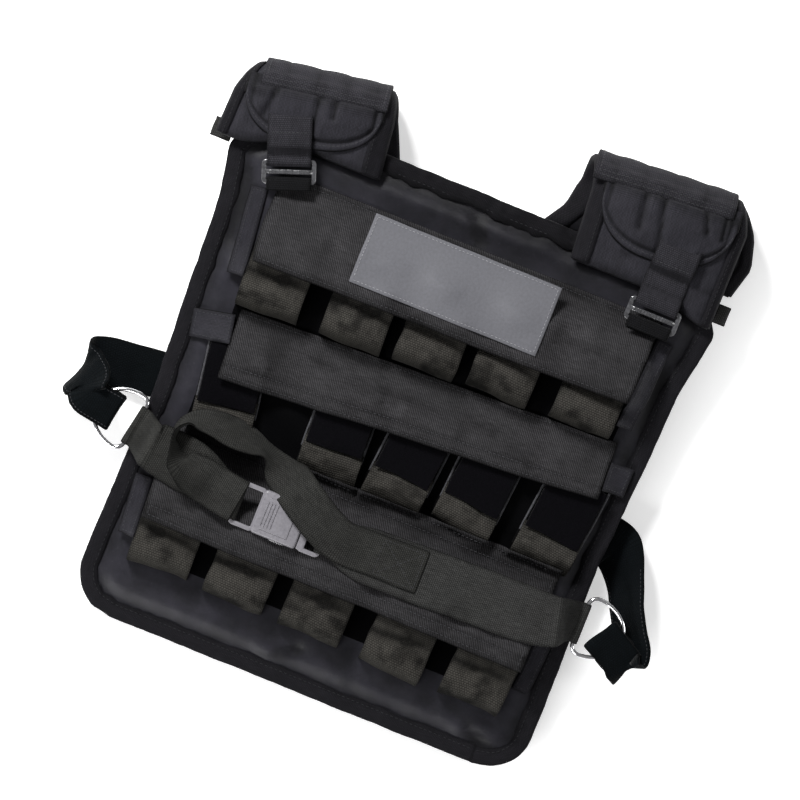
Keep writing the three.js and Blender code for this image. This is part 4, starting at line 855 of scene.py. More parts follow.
@dataclass
class Panel:
    """Padded panel with tape folded round its seam."""

    name: str
    shape: PanelShape
    thickness: float
    place: Callable[[Array], Array]
    creases: list[Crease] = field(default_factory=list)
    covered: list[Quad] = field(default_factory=list)
    step: float = 4.0
    seam: float = 3.0
    flat: float = 15.0
    roll: float = 14.0
    tape: float = 14.0
    tape_gap: float = 0.4
    pucker: float = 0.35
    rumple: float = 0.0
    swell: float = 3.0
    seed: int = 3

    def surfaces(self) -> tuple[Array, Array, Array, Array]:
        """Grids of the outer and inner face: x, y, upper and lower heights."""
        rows = np.unique(np.concatenate([np.linspace(0, 42, 16), np.arange(42, self.shape.height - 32, self.step),
                                         np.linspace(self.shape.height - 32, self.shape.height, 12)]))
        y = self.shape.inset + rows
        half = self.shape.half_width(y)
        edge = np.array([0, 3, 7, 11, 15, 19, 23, 27, 31])
        inner = np.linspace(-1, 1, int((self.shape.width - 62) / self.step))[1:-1]
        columns = []
        for h in half:
            columns.append(np.concatenate([-h + edge, inner * (h - edge[-1]), h - edge[::-1]]))
        x = np.array(columns).T
        y = np.broadcast_to(y, x.shape)
        inside = self.shape.edge_distance(x, y)
        grain = Grain(self.seed)
        fullness = smooth(self.flat, self.flat + self.roll, inside)
        half_thick = (self.seam + (self.thickness - self.seam) * fullness) / 2
        around = np.arctan2(y - self.shape.height / 2, x) * 230
        ripple = (grain.at(around, inside * 0.7, 9.0) + 0.5 * grain.at(around, inside, 4.0))
        puckers = self.pucker * ripple * smooth(2, 14, inside) * (1 - smooth(26, 60, inside))
        broad = (grain.at(x * 0.7, y, 85.0) + 0.5 * grain.at(x, y * 0.8, 48.0)) * smooth(18, 40, inside)
        covered = self.cover_share(x, y)
        lift = sum((crease.lift(x, y) for crease in self.creases), np.zeros_like(x))
        lift = lift * smooth(12, 22, inside)
        upper = self.thickness / 2 + half_thick + (puckers + broad * 0.6 + lift) * (1 - covered)
        lower = self.thickness / 2 - half_thick - 0.3 * puckers * (self.thickness < 11)
        upper = np.where(covered > 0.5, np.minimum(upper, self.thickness + 0.1), upper)
        return x, y, upper, np.minimum(lower, self.thickness / 2 - 0.5)

    def cover_share(self, x: Array, y: Array) -> Array:
        """1 where other pieces lie on the panel and 0 in the open, with a soft change."""
        covered = np.zeros_like(x)
        for quad in self.covered:
            left = np.interp(y, [quad.low_left[1], quad.high_left[1]], [quad.low_left[0], quad.high_left[0]])
            right = np.interp(y, [quad.low_right[1], quad.high_right[1]], [quad.low_right[0], quad.high_right[0]])
            share = (x - left) / (right - left)
            low = quad.low_left[1] + (quad.low_right[1] - quad.low_left[1]) * share
            high = quad.high_left[1] + (quad.high_right[1] - quad.high_left[1]) * share
            inside = np.minimum.reduce([x - left, right - x, y - low, high - y])
            covered = np.maximum(covered, smooth(-6, 0, inside))
        return covered

    def build(self, wardrobe: Wardrobe, relief: Optional[Relief] = None) -> bpy.types.Object:
        """Builds the panel and swells it by simulation where it is open.

        Args:
            wardrobe: Where the materials come from.
            relief: Raster that is raised to the panel's face.

        Returns:
            The panel object.
        """
        x, y, upper, lower = self.surfaces()
        cloth = Cloth([Wardrobe.PANEL, Wardrobe.PANEL_SHADOW])
        top = np.stack([x, y, upper], -1)
        bottom = np.stack([x, y, lower], -1)
        covered = self.cover_share(x, y)
        inside = self.shape.edge_distance(x, y)
        # Painted shade: darker beside the tape, towards the neckline and in the dents of the creases.
        shade = 0.55 * smooth(26, 15, inside) + 0.5 * smooth(0.88, 0.93, y / self.shape.height)
        for crease in self.creases:
            shade = shade + 0.7 * np.clip(-crease.lift(x, y), 0, 1)
        cloth.shell(self.place(top), self.place(bottom), np.stack([x, y, shade], -1), round_edge=0.3)
        if relief is not None:
            # Panel faces under the pouches and flaps get the near-black finish: painted shadow.
            painted_shadow_faces = np.minimum.reduce([covered[:-1, :-1], covered[1:, :-1], covered[:-1, 1:], covered[1:, 1:]]) > 0.9
            for k in np.nonzero(painted_shadow_faces.ravel())[0]:
                cloth.face_finish[2 * int(k)] = 1
        piece = cloth.build(self.name, wardrobe, [self.name])
        if relief is not None:
            hold = np.maximum.reduce([covered, 1 - smooth(self.tape, self.tape + 8, inside)])
            rims = len(cloth.points[0]) - 2 * hold.size
            weights = np.concatenate([hold.ravel(), np.ones(hold.size), np.ones(rims)])
            swell_cloth(piece, weights, cap=self.swell, pressure=2.2, spare=0.0)
            places = np.array([v.co for v in piece.data.vertices])[: x.size].reshape(*x.shape, 3)
            relief.cover(LAYOUT.front_of_row(places))
        return piece

    def build_tape(self, wardrobe: Wardrobe, relief: Optional[Relief] = None) -> bpy.types.Object:
        """Builds the tape folded round the seam, rumpled at the neckline, with stitches on its face."""
        rim = self.shape.rim()
        steps = np.linalg.norm(np.roll(rim, -1, axis=0) - rim, axis=1)
        length = np.concatenate([[0], np.cumsum(steps)])
        count = int(length[-1] / 3.2)
        closed = np.concatenate([rim, rim[:1]])
        at = np.linspace(0, length[-1], count, endpoint=False)
        line = np.stack([np.interp(at, length, closed[:, k]) for k in range(2)], 1)
        run = np.roll(line, -1, axis=0) - np.roll(line, 1, axis=0)
        out = np.stack([run[:, 1], -run[:, 0]], 1) / np.linalg.norm(run, axis=1, keepdims=True)
        grain = Grain(self.seed + 11)
        reach = self.tape_gap + 1.0
        inner_h, outer_h = self.seam / 2 + self.tape_gap * 0.8, self.seam / 2 + self.tape_gap + 1.0
        section = [(-self.tape, inner_h), (-self.tape - 0.4, (inner_h + outer_h) / 2), (-self.tape, outer_h),
                   (-self.tape * 0.66, outer_h + 0.2), (-self.tape * 0.33, outer_h + 0.25), (-1.5, outer_h),
                   (reach * 0.6, outer_h * 0.8), (reach, 0.0), (reach * 0.6, -outer_h * 0.8), (-1.5, -outer_h),
                   (-self.tape, -outer_h), (-self.tape - 0.4, -(inner_h + outer_h) / 2), (-self.tape, -inner_h),
                   (0.0, -inner_h), (0.25, 0.0), (0.0, inner_h)]
        wave = grain.at(at, at * 0, 13.0) + 0.5 * grain.at(at, at * 0 + 50, 5.0)
        neck = self.rumple * smooth(0.96, 0.985, line[:, 1] / self.shape.height) * smooth(150, 110, np.abs(line[:, 0]))
        rings, threads = [], []
        for outward, height in section:
            across = outward + ((1.4 + 1.4 * neck) * wave if outward < -10 else 0.5 * wave)
            lift = (0.45 + 1.3 * neck) * grain.at(at, at * 0 + outward, 7.0) + 0.9 * neck if height > 0 else 0 * wave
            rings.append(np.stack([line[:, 0] + out[:, 0] * across, line[:, 1] + out[:, 1] * across,
                                   self.thickness / 2 + height + lift], -1))
            # The third number is painted shade: darker where the tape rumples at the neckline and along its inner edge.
            threads.append(np.stack([at, np.full_like(at, outward + height),
                                     0.5 * neck + 0.4 * (outward < -13)], -1))
        cloth = Cloth([Wardrobe.TAPE, Wardrobe.EDGE_THREAD])
        cloth.tube(self.place(np.stack(rings, 1)), np.stack(threads, 1), closed=True)
        if relief is not None:
            relief.cover(np.stack([*rings[2:7]], 1)[np.r_[0:count, 0]])
        row = np.stack([line[:, 0] - out[:, 0] * (self.tape - 3), line[:, 1] - out[:, 1] * (self.tape - 3),
                        np.full(count, self.thickness / 2 + outer_h + 0.25)], -1)
        up = self.place(row + np.array([0, 0, 1.0])) - self.place(row)
        add_stitches(cloth, self.place(row), up / MM, 1, length=3.0, gap=1.6)
        name = self.name.replace("panel", "binding")
        return cloth.build(name, wardrobe, [name])


def swell_cloth(piece: bpy.types.Object, weights: Array, cap: float, pressure: float, spare: float,
                frames: int = 16) -> None:
    """Swells a closed cloth body by simulation and keeps the result in its mesh.

    Args:
        piece: Object whose mesh is swollen.
        weights: One value for each vertex, 1 where it is sewn down and 0 where it is free.
        cap: Furthest that a vertex may move, in millimetres.
        pressure: Pressure of the filling.
        spare: Share by which the cloth is cut larger than its shape.
        frames: Number of frames that the simulation runs.
    """
    group = piece.vertex_groups.new(name="sewn")
    for level in np.unique(np.round(weights, 1)):
        chosen = np.nonzero(np.round(weights, 1) == level)[0]
        group.add([int(i) for i in chosen], float(level), "REPLACE")
    before = np.array([v.co for v in piece.data.vertices])
    cloth = piece.modifiers.new("swell", "CLOTH")
    settings = cloth.settings
    settings.quality = 5
    settings.mass = 0.2
    settings.tension_stiffness = 18
    settings.compression_stiffness = 18
    settings.shear_stiffness = 8
    settings.bending_stiffness = 6.0
    settings.use_pressure = True
    settings.uniform_pressure_force = pressure
    settings.shrink_min = -spare
    settings.vertex_group_mass = "sewn"
    settings.pin_stiffness = 1.0
    settings.effector_weights.gravity = 0
    cloth.collision_settings.use_collision = False
    cloth.collision_settings.use_self_collision = False
    cloth.point_cache.frame_start, cloth.point_cache.frame_end = 1, frames + 1
    scene = bpy.context.scene
    for number in range(1, frames + 1):
        scene.frame_set(number)
    shown = piece.evaluated_get(bpy.context.evaluated_depsgraph_get())
    after = np.array([v.co for v in shown.data.vertices])
    piece.modifiers.remove(cloth)
    scene.frame_set(1)
    move = after - before
    length = np.linalg.norm(move, axis=1, keepdims=True)
    move = move * np.minimum(1.0, cap * MM / np.maximum(length, 1e-9)) * (1 - weights)[:, None]
    piece.data.vertices.foreach_set("co", (before + move).astype(np.float32).ravel())
    piece.data.update()
    log.info("%s swelled by up to %.1f mm", piece.name, float(np.linalg.norm(move, axis=1).max() / MM))


# Pouches, flaps and label

@dataclass
class Pouch:
    """One pouch for a weight bar: a dark body with a woven wrap over it. Millimetres, front plane."""

    name: str
    low: tuple[float, float]
    length: float
    lean: float
    depth: float
    seed: int
    width: float = 57.0
    body_inset: float = 2.2
    side_round: float = 7.0
    low_round: float = 12.0
    high_round: float = 18.0
    wrap_thickness: float = 1.3
    base: float = 10.4
    crumple: float = 1.7
    dent: float = 5.2
    dent_at: float = 31.0
    ragged: float = 2.2

    @property
    def along(self) -> Array:
        """Unit direction from the low end to the high end."""
        run = np.array([self.lean, self.length])
        return run / np.linalg.norm(run)

    def profile_along(self, count: int = 46) -> tuple[Array, Array]:
        """Places along the pouch and the share of the full height there."""
        low = np.linspace(0, math.pi / 2, 15)
        high = np.linspace(math.pi / 2, 0, 12)
        middle = np.linspace(self.low_round, self.length - self.high_round, count - 25)[1:-1]
        at = np.concatenate([self.low_round * (1 - np.cos(low)), middle,
                             self.length - self.high_round * (1 - np.cos(high))])
        share = np.concatenate([np.sin(low), np.ones(len(middle)), np.sin(high)])
        return at, share

    def profile_across(self, half: float, drop: float) -> tuple[Array, Array]:
        """Places across the pouch and the share of the full height there."""
        angle = np.linspace(0, math.pi / 2, 7)
        side = np.concatenate([half - self.side_round * (1 - np.sin(angle)), [half]])
        fall = np.concatenate([1 - drop * (1 - np.cos(angle)), [0.04]])
        flat = np.linspace(-half + self.side_round, half - self.side_round, 21)[1:-1]
        crown = 1 + 0.05 * np.cos(flat / half * math.pi / 2)
        x = np.concatenate([-side[::-1], flat, side])
        share = np.concatenate([fall[::-1], crown, fall])
        return x, share

    def place(self, across: Array, along: Array, height: Array) -> Array:
        """Places of the pouch as places in the front plane."""
        run, side = self.along, np.array([self.along[1], -self.along[0]])
        shift = self.ragged * Grain(self.seed + 9).at(across, across * 0, 23.0)
        along = along + shift * (1 - smooth(0, 45, along))
        return np.stack([self.low[0] + across * side[0] + along * run[0],
                         self.low[1] + across * side[1] + along * run[1], height], -1)

    def wrinkle(self, across: Array, along: Array) -> Array:
        """Small waves of the cloth, stronger towards the low end."""
        grain = Grain(self.seed)
        slant = 0.22 * float(grain.at(0.0, 0.0, 3.0)) * across
        fold = self.dent * np.exp(-((along - self.dent_at - slant) / 8.0) ** 2)
        return self.crumple * (grain.at(across, along, 21.0) + 0.6 * grain.at(across * 0.5, along, 9.0)) - fold

    def build(self, wardrobe: Wardrobe, relief: Relief) -> bpy.types.Object:
        """Builds the pouch and raises the relief to it."""
        cloth = Cloth([Wardrobe.POUCH, Wardrobe.LINING])
        y, up = self.profile_along()
        x, share = self.profile_across(self.width / 2 - self.body_inset, 0.16)
        across, along = np.meshgrid(x, y, indexing="ij")
        height = share[:, None] * up[None, :]
        wave = self.wrinkle(across, along)
        full = self.depth - self.wrap_thickness
        top = self.base + 0.6 + np.maximum(full * height + wave * height - 0.6, 0.2)
        floor = np.full_like(top, self.base)
        upper, lower = self.place(across, along + 1.2, top), self.place(across, along + 1.2, floor)
        thread = np.stack([along, across], -1)
        cloth.shell(LAYOUT.from_front(upper), LAYOUT.from_front(lower), thread, 1, round_edge=0.05)
        half = self.width / 2 - 0.5
        strip = np.linspace(-half, half, 27)
        across, along = np.meshgrid(strip, y, indexing="ij")
        edge = smooth(half - 9, half, np.abs(across))
        grain = Grain(self.seed + 40)
        selvage = 0.6 * grain.at(along, along * 0 + np.sign(across) * 9, 15.0) * edge
        outer = 1.01 - 0.075 * edge + 0.045 * np.cos(across / half * math.pi / 2)
        height = outer * up[None, :]
        wave = self.wrinkle(across, along)
        under = self.base + 0.3 + np.maximum((full + 0.35) * height + wave * height, 0)
        middle = self.place(across + selvage, along - 0.9 * (1 - up[None, :]), under)
        normal = grid_normals(middle)
        normal = normal * np.sign(normal[..., 2:3] + 1e-9)
        upper = middle + normal * self.wrap_thickness
        steps = np.concatenate([[0], np.cumsum(np.linalg.norm(np.diff(middle[13], axis=0), axis=1))])
        slant = 0.22 * float(Grain(self.seed).at(0.0, 0.0, 3.0)) * across
        # Painted shade: darker towards the high end under the flap, at the curled low end, in the crease and along the
        # sides, plus darker patches at random.
        shade = (0.75 * smooth(0.4, 0.62, along / self.length) + 0.4 * smooth(7, 0, along)
                 + 0.95 * np.exp(-((along - self.dent_at - 2 - slant) / 4.5) ** 2) * smooth(0, 14, half - across)
                 + 0.85 * smooth(0.0, 0.6, grain.layered(across + 50, along * 1.6, 15.0)) + 0.45 * smooth(3, 0, half
                                                                                                     - np.abs(across)))
        thread = np.stack([np.broadcast_to(steps, across.shape), across, shade], -1)
        cloth.shell(LAYOUT.from_front(upper), LAYOUT.from_front(middle), thread, 0, round_edge=0.35)
        relief.cover(upper)
        return cloth.build(self.name, wardrobe, [self.name])


@dataclass
class EmptyPouch(Pouch):
    """Flat pouch without a bar: a creased front, a crumpled lower fold and grip facing above."""

    skirt_skew: float = 0.0
    skirt_lift: float = 3.5
    grip_start: float = 20.0
    grip_length: float = 56.0
    grip_width: float = 51.0
    grip_thickness: float = 1.2
    grip_name: str = ""
    piping: float = 1.1
    piping_start: float = 14.0

    def build(self, wardrobe: Wardrobe, relief: Relief) -> bpy.types.Object:
        """Builds the flat body with its crumpled fold and raises the relief to it."""
        cloth = Cloth([Wardrobe.POUCH, Wardrobe.LINING, Wardrobe.PIPING])
        grain = Grain(self.seed)
        y = np.linspace(0, self.length, 60)
        x = np.linspace(-self.width / 2, self.width / 2, 40)
        across, along = np.meshgrid(x, y, indexing="ij")
        rim = np.minimum.reduce([self.width / 2 - np.abs(across), along + 1.5, self.length - along])
        body = self.depth * 0.62 * smooth(-1, 9, rim)
        body = body + 1.2 * grain.layered(across, along, 24.0) * smooth(0, 8, rim)
        top = self.base + 0.8 + np.maximum(body, 0)
        upper, lower = self.place(across, along, top), self.place(across, along, np.full_like(top, self.base))
        thread = np.stack([along, across], -1)
        cloth.shell(LAYOUT.from_front(upper), LAYOUT.from_front(lower), thread, 1, round_edge=0.1)
        relief.cover(upper)
        run = np.linspace(0, 1, 30)
        strip = np.linspace(-0.5, 0.5, 30)
        across, share = np.meshgrid(strip * (self.width - 3), run, indexing="ij")
        along = -7 + 33 * share + self.skirt_skew * across / self.width
        fold = np.sin(share * math.pi) ** 0.7
        ripple = 1.6 * grain.at(across + 300, along * 2.2, 16.0) + 0.8 * grain.at(across + 90, along, 7.0)
        height = self.base + 1.4 + (self.depth * 0.55 + self.skirt_lift) * fold + ripple * fold
        flat = self.place(across, along, height)
        floor = relief.at(flat[..., 0], flat[..., 1])
        flat[..., 2] = np.maximum(flat[..., 2], np.where(floor > 0, floor, self.base) + 0.4)
        normal = grid_normals(flat)
        normal = normal * np.sign(normal[..., 2:3] + 1e-9)
        upper = flat + normal * self.wrap_thickness
        # Painted shade: darker at both ends of the lower fold, plus darker patches at random.
        shade = (0.7 * smooth(0.78, 1.0, share) + 0.5 * smooth(0.12, 0.0, share)
                 + 0.6 * smooth(0.0, 0.6, grain.layered(across, along * 2, 12.0)))
        cloth.shell(LAYOUT.from_front(upper), LAYOUT.from_front(flat), np.stack([along, across, shade], -1), 0)
        for side in (-1, 1):
            at = np.linspace(self.piping_start, self.length - 2, 34)
            edge = side * (self.width / 2 - 1.2) + 0.8 * grain.at(at, at * 0 + side * 20, 30.0)
            cord = self.place(edge, at, at * 0)
            cord[:, 2] = relief.at(cord[:, 0], cord[:, 1]) + self.piping * 0.7
            add_cord(cloth, LAYOUT.from_front(cord), self.piping, 2)
        relief.cover(upper)
        return cloth.build(self.name, wardrobe, [self.name])

    def build_grip(self, wardrobe: Wardrobe, relief: Relief) -> bpy.types.Object:
        """Builds the looped facing on the upper part of the pouch."""
        cloth = Cloth([Wardrobe.GRIP])
        across, along = np.meshgrid(np.linspace(-self.grip_width / 2, self.grip_width / 2, 36),
                                    np.linspace(self.grip_start, self.grip_start + self.grip_length, 40),
                                    indexing="ij")
        grain = Grain(self.seed + 5)
        place = self.place(across + 0.7 * grain.at(across, along, 25.0), along, across * 0)
        floor = relief.at(place[..., 0], place[..., 1]) + 0.3
        height = stretch_over(floor, np.ones_like(floor), rounds=25, slack=0.02)
        lower, upper = place.copy(), place.copy()
        lower[..., 2], upper[..., 2] = height, height + self.grip_thickness
        cloth.shell(LAYOUT.from_front(upper), LAYOUT.from_front(lower), np.stack([along, across], -1))
        relief.cover(upper)
        return cloth.build(self.grip_name, wardrobe, [self.grip_name])


@dataclass
class Flap:
    """Woven flap draped over a row of pouches, sewn along its high edge. Millimetres, front plane."""

    name: str
    quad: Quad
    thickness: float
    sewn_from: float
    seams: tuple[float, ...]
    rests_on: list[str]
    seed: int
    step: float = 3.0
    hem: float = 11.0
    edge_wave: float = 1.6
    sag: float = 0.06
    stand_off: float = 3.4

    def build(self, wardrobe: Wardrobe, relief: Relief) -> bpy.types.Object:
        """Drapes the flap over the relief and raises the relief to it."""
        a, b, x, y = self.quad.grid(self.step)
        grain = Grain(self.seed)
        tall = math.dist(self.quad.low_left, self.quad.high_left)
        wide = math.dist(self.quad.low_left, self.quad.low_right)
        free = 1 - smooth(0.0, 0.5, b)
        y = y + self.edge_wave * grain.at(x, y * 0, 70.0) * free
        x = x + self.edge_wave * grain.at(x * 0 + np.sign(a - 0.5) * 40, y, 40.0) * smooth(0.44, 0.5, np.abs(a - 0.5))
        floor = relief.at(x, y) + 0.35
        floor = np.maximum(floor, 10.5)
        loose = (b < self.sewn_from).astype(float)
        height = stretch_over(floor, loose, rounds=500, slack=self.sag)
        height = height + 0.35 * (1 + grain.layered(x, y, 30.0)) * smooth(0, 0.2, 1 - b)
        height = height + self.stand_off * smooth(0.42, 0.0, b) * (1 + 0.4 * grain.at(x, y * 0, 60.0))
        down, side = b * tall, np.minimum(a, 1 - a) * wide
        folded = np.maximum(1 - smooth(self.hem - 1, self.hem + 1, down), 1 - smooth(self.hem - 1, self.hem + 1, side))
        thick = self.thickness * 0.8 + 0.7 * folded
        lower = np.stack([x, y, height], -1)
        upper = np.stack([x, y, height + thick], -1)
        cloth = Cloth([Wardrobe.FLAP, Wardrobe.THREAD])
        places = LAYOUT.from_front(upper)
        # Painted shade: darker near the sides and the free edge and along the seams, plus darker patches at random.
        shade = 0.5 * smooth(0.15, 0.8, grain.layered(x * 0.7, y * 1.8, 26.0)) + 0.45 * smooth(3, 0, np.minimum(side, down))
        for seam in self.seams:
            shade = shade + 0.45 * np.exp(-((b - seam) * tall / 2.6) ** 2)
        cloth.shell(places, LAYOUT.from_front(lower), np.stack([a * wide, b * tall, shade], -1), round_edge=0.4)
        inset = 3.5 / wide
        for seam in self.seams:
            stitch_on_grid(cloth, places, [(inset, seam), (1 - inset, seam)], 1)
        for edge in (inset, 1 - inset):
            stitch_on_grid(cloth, places, [(edge, 3.5 / tall), (edge, 1 - 3.5 / tall)], 1)
        relief.cover(upper)
        piece = cloth.build(self.name, wardrobe, [self.name])
        return piece


@dataclass
class Patch:
    """Small thin piece sewn flat on what lies below it, such as a label or a band."""

    name: str
    quad: Quad
    thickness: float
    finish: Finish
    border: float = 2.6
    step: float = 2.5
    rounds: int = 45
    slack: float = 0.01
    frayed: float = 0.4
    seed: int = 17
    crossed: bool = False

    def build(self, wardrobe: Wardrobe, relief: Relief) -> bpy.types.Object:
        """Lays the patch over the relief, adds its stitches and raises the relief to it."""
        a, b, x, y = self.quad.grid(self.step)
        grain = Grain(self.seed)
        x = x + self.frayed * grain.at(x, y, 22.0)
        y = y + self.frayed * grain.at(x + 70, y, 22.0)
        floor = relief.at(x, y) + 0.3
        height = stretch_over(floor, np.ones_like(floor), rounds=self.rounds, slack=self.slack, settled=True)
        lower = np.stack([x, y, height], -1)
        upper = np.stack([x, y, height + self.thickness], -1)
        cloth = Cloth([self.finish, Wardrobe.BORDER if self.finish is Wardrobe.LABEL else Wardrobe.THREAD])
        places = LAYOUT.from_front(upper)
        wide = math.dist(self.quad.low_left, self.quad.low_right)
        tall = math.dist(self.quad.low_left, self.quad.high_left)
        edge = np.minimum(np.minimum(a, 1 - a) * wide, np.minimum(b, 1 - b) * tall)
        # Painted shade round the edges, plus darker patches at random.
        shade = 0.6 * smooth(2.6, 0, edge) + 0.4 * smooth(0.1, 0.8, grain.layered(x, y, 17.0))
        cloth.shell(places, LAYOUT.from_front(lower), np.stack([b * tall, a * wide, shade], -1), round_edge=0.4)
        in_a, in_b = self.border / wide, self.border / tall
        corners = [(in_a, in_b), (1 - in_a, in_b), (1 - in_a, 1 - in_b), (in_a, 1 - in_b), (in_a, in_b)]
        stitch_on_grid(cloth, places, corners, 1, length=2.4, gap=1.2, radius=0.3)
        if self.crossed:
            stitch_on_grid(cloth, places, [corners[0], corners[2]], 1, length=2.4, gap=1.2, radius=0.3)
            stitch_on_grid(cloth, places, [corners[1], corners[3]], 1, length=2.4, gap=1.2, radius=0.3)
        relief.cover(upper)
        return cloth.build(self.name, wardrobe, [self.name])


# Straps

@dataclass
class Strap:
    """Strap of webbing along a line of stations, each a place, a direction across and a width."""

    name: str
    stations: Array
    thickness: float
    place: Callable[[Array], Array]
    finish: Finish
    step: float = 2.2
    across_count: int = 17
    cup: float = 0.0
    wave: float = 0.25
    edge_wave: float = 0.35
    outer_side: float = 1.0
    ground: Optional[float] = None
    seed: int = 21

    @staticmethod
    def station(place: Sequence[float], across: Sequence[float], width: float) -> list[float]:
        """One station as a row of seven numbers."""
        return [*place, *across, width]

    def grids(self) -> tuple[Array, Array, Array]:
        """Grids of the upper face, the lower face and the thread places, in millimetres."""
        rows = np.array(self.stations, float)
        for i in range(1, len(rows)):
            if rows[i, 3:6] @ rows[i - 1, 3:6] < 0:
                rows[i, 3:6] *= -1
        length = np.linalg.norm(np.diff(rows[:, :3], axis=0), axis=1).sum()
        rows = resample(rows, max(12, int(length / self.step)))
        points, side, width = rows[:, :3], rows[:, 3:6], rows[:, 6]
        along = np.gradient(points, axis=0)
        along /= np.linalg.norm(along, axis=1, keepdims=True)
        normal = np.cross(along, side)
        normal /= np.linalg.norm(normal, axis=1, keepdims=True)
        side = np.cross(normal, along)
        normal = normal * self.outer_side
        run = np.concatenate([[0], np.cumsum(np.linalg.norm(np.diff(points, axis=0), axis=1))])
        t = np.linspace(-1, 1, self.across_count)
        grain = Grain(self.seed)
        at, over = np.meshgrid(run, t, indexing="ij")
        half = width[:, None] / 2 + self.edge_wave * grain.at(at, over * 0 + np.sign(over) * 30, 26.0)
        middle = points[:, None] + side[:, None] * (half * over)[..., None]
        lift = self.cup * (over ** 2 - 0.4) + self.wave * grain.at(at, over * 18, 17.0)
        middle = middle + normal[:, None] * lift[..., None]
        thick = self.thickness / 2 * (1 - 0.25 * smooth(0.9, 1.0, np.abs(over)))
        normals = grid_normals(middle)
        normals = normals * np.sign(np.sum(normals * normal[:, None], axis=-1, keepdims=True))
        upper, lower = middle + normals * thick[..., None], middle - normals * thick[..., None]
        if self.ground is not None:
            rise = np.maximum(0, self.ground - np.minimum(upper[..., 2], lower[..., 2]))
            upper[..., 2] += rise
            lower[..., 2] += rise
        # Painted shade along the edges, plus darker patches at random.
        shade = 0.55 * smooth(0.86, 1.0, np.abs(over)) + 0.45 * smooth(0.1, 0.8, grain.layered(at, over * 18, 21.0))
        return upper, lower, np.stack([at, half * over, shade], -1)

    def cloth(self) -> tuple[Cloth, Array]:
        """Starts the mesh of the strap and returns it with the grid of its upper face."""
        upper, lower, thread = self.grids()
        cloth = Cloth([self.finish, Wardrobe.THREAD])
        places = self.place(upper)
        cloth.shell(places, self.place(lower), thread, round_edge=0.45)
        return cloth, places

    def build(self, wardrobe: Wardrobe, relief: Optional[Relief] = None,
              stitches: Sequence[Sequence[tuple[float, float]]] = ()) -> bpy.types.Object:
        """Builds the strap with rows of stitches on its upper face.

        Args:
            wardrobe: Where the materials come from.
            relief: Raster that is raised to the strap, if it lies on the front.
            stitches: Routes of stitches, as shares along and across the strap.

        Returns:
            The strap object.
        """
        cloth, places = self.cloth()
        for route in stitches:
            stitch_on_grid(cloth, places, route, 1, length=2.4, gap=1.1, radius=0.35)
        if relief is not None:
            relief.cover(self.grids()[0])
        return cloth.build(self.name, wardrobe, [self.name])


def lay_strap(plan: Sequence[Sequence[float]], relief: Relief, full_width: float, thickness: float,
              gap: float = 0.35, rounds: int = 120, step: float = 5.0) -> Array:
    """Lays a strap over the relief along a line in plan.

    Args:
        plan: Rows of x, y, width share and lift over what lies below, in millimetres.
        relief: What the strap lies on.
        full_width: Width of the webbing.
        thickness: Thickness of the webbing.
        gap: Room left below the strap.
        rounds: Number of relaxation steps between the strap's ends.
        step: Distance between stations.

    Returns:
        Rows of stations.
    """
    rows = np.array([[x, y, 0.0, width, lift] for x, y, width, lift in plan])
    length = np.linalg.norm(np.diff(rows[:, :2], axis=0), axis=1).sum()
    rows = resample(rows, max(6, int(length / step)))
    run = np.gradient(rows[:, :2], axis=0)
    run /= np.linalg.norm(run, axis=1, keepdims=True)
    side = np.stack([-run[:, 1], run[:, 0]], 1)
    floor = np.full(len(rows), -20.0)
    for share in np.linspace(-0.5, 0.5, 15):
        x = rows[:, 0] + side[:, 0] * share * full_width * rows[:, 3]
        y = rows[:, 1] + side[:, 1] * share * full_width * rows[:, 3]
        floor = np.maximum(floor, relief.at(x, y))
    floor = floor + gap + thickness / 2 + rows[:, 4]
    height = floor.copy()
    for _ in range(rounds):
        mean = (np.concatenate([height[:1], height[:-1]]) + np.concatenate([height[1:], height[-1:]])) / 2
        height = np.maximum(floor, mean - 0.01)
    return np.concatenate([rows[:, :2], height[:, None], side, np.zeros((len(rows), 1)),
                           full_width * rows[:, 3:4]], axis=1)


def fold_round(bar: Array, near: Array, up: Array, across: Array, radius: float,
               legs: tuple[float, float, float], width: float, steps: int = 9) -> Array:
    """Stations of a strap folded round a bar.

    Args:
        bar: Middle of the bar.
        near: Unit direction from the bar towards the strap's run.
        up: Unit direction of the side where the strap arrives.
        across: Unit direction along the bar.
        radius: Distance of the strap's middle layer from the bar's middle.
        legs: Lengths over the bar, past it and back underneath.
        width: Width of the strap at the bar.
        steps: Number of steps round the bar.

    Returns:
        Rows of stations.
    """
    over, past, under = legs
    rows = [(over, radius)]
    for share in np.linspace(0, 1, steps):
        angle = share * math.pi
        rows.append((-past - radius * math.sin(angle), radius * math.cos(angle)))
    rows.append((under, -radius))
    return np.array([[*(bar + near * out + up * high), *across, width] for out, high in rows])


# Fittings

def rounded_loop(half_long: float, half_wide: float, corner: float, steps: int = 5) -> Array:
    """Places round a rectangle with round corners, anticlockwise."""
    points = []
    for quarter, (sx, sy) in enumerate(((1, 1), (-1, 1), (-1, -1), (1, -1))):
        for share in np.linspace(0, 1, steps):
            angle = (quarter + share) * math.pi / 2
            points.append([sx * (half_long - corner) + corner * math.cos(angle),
                           sy * (half_wide - corner) + corner * math.sin(angle)])
    return np.array(points)


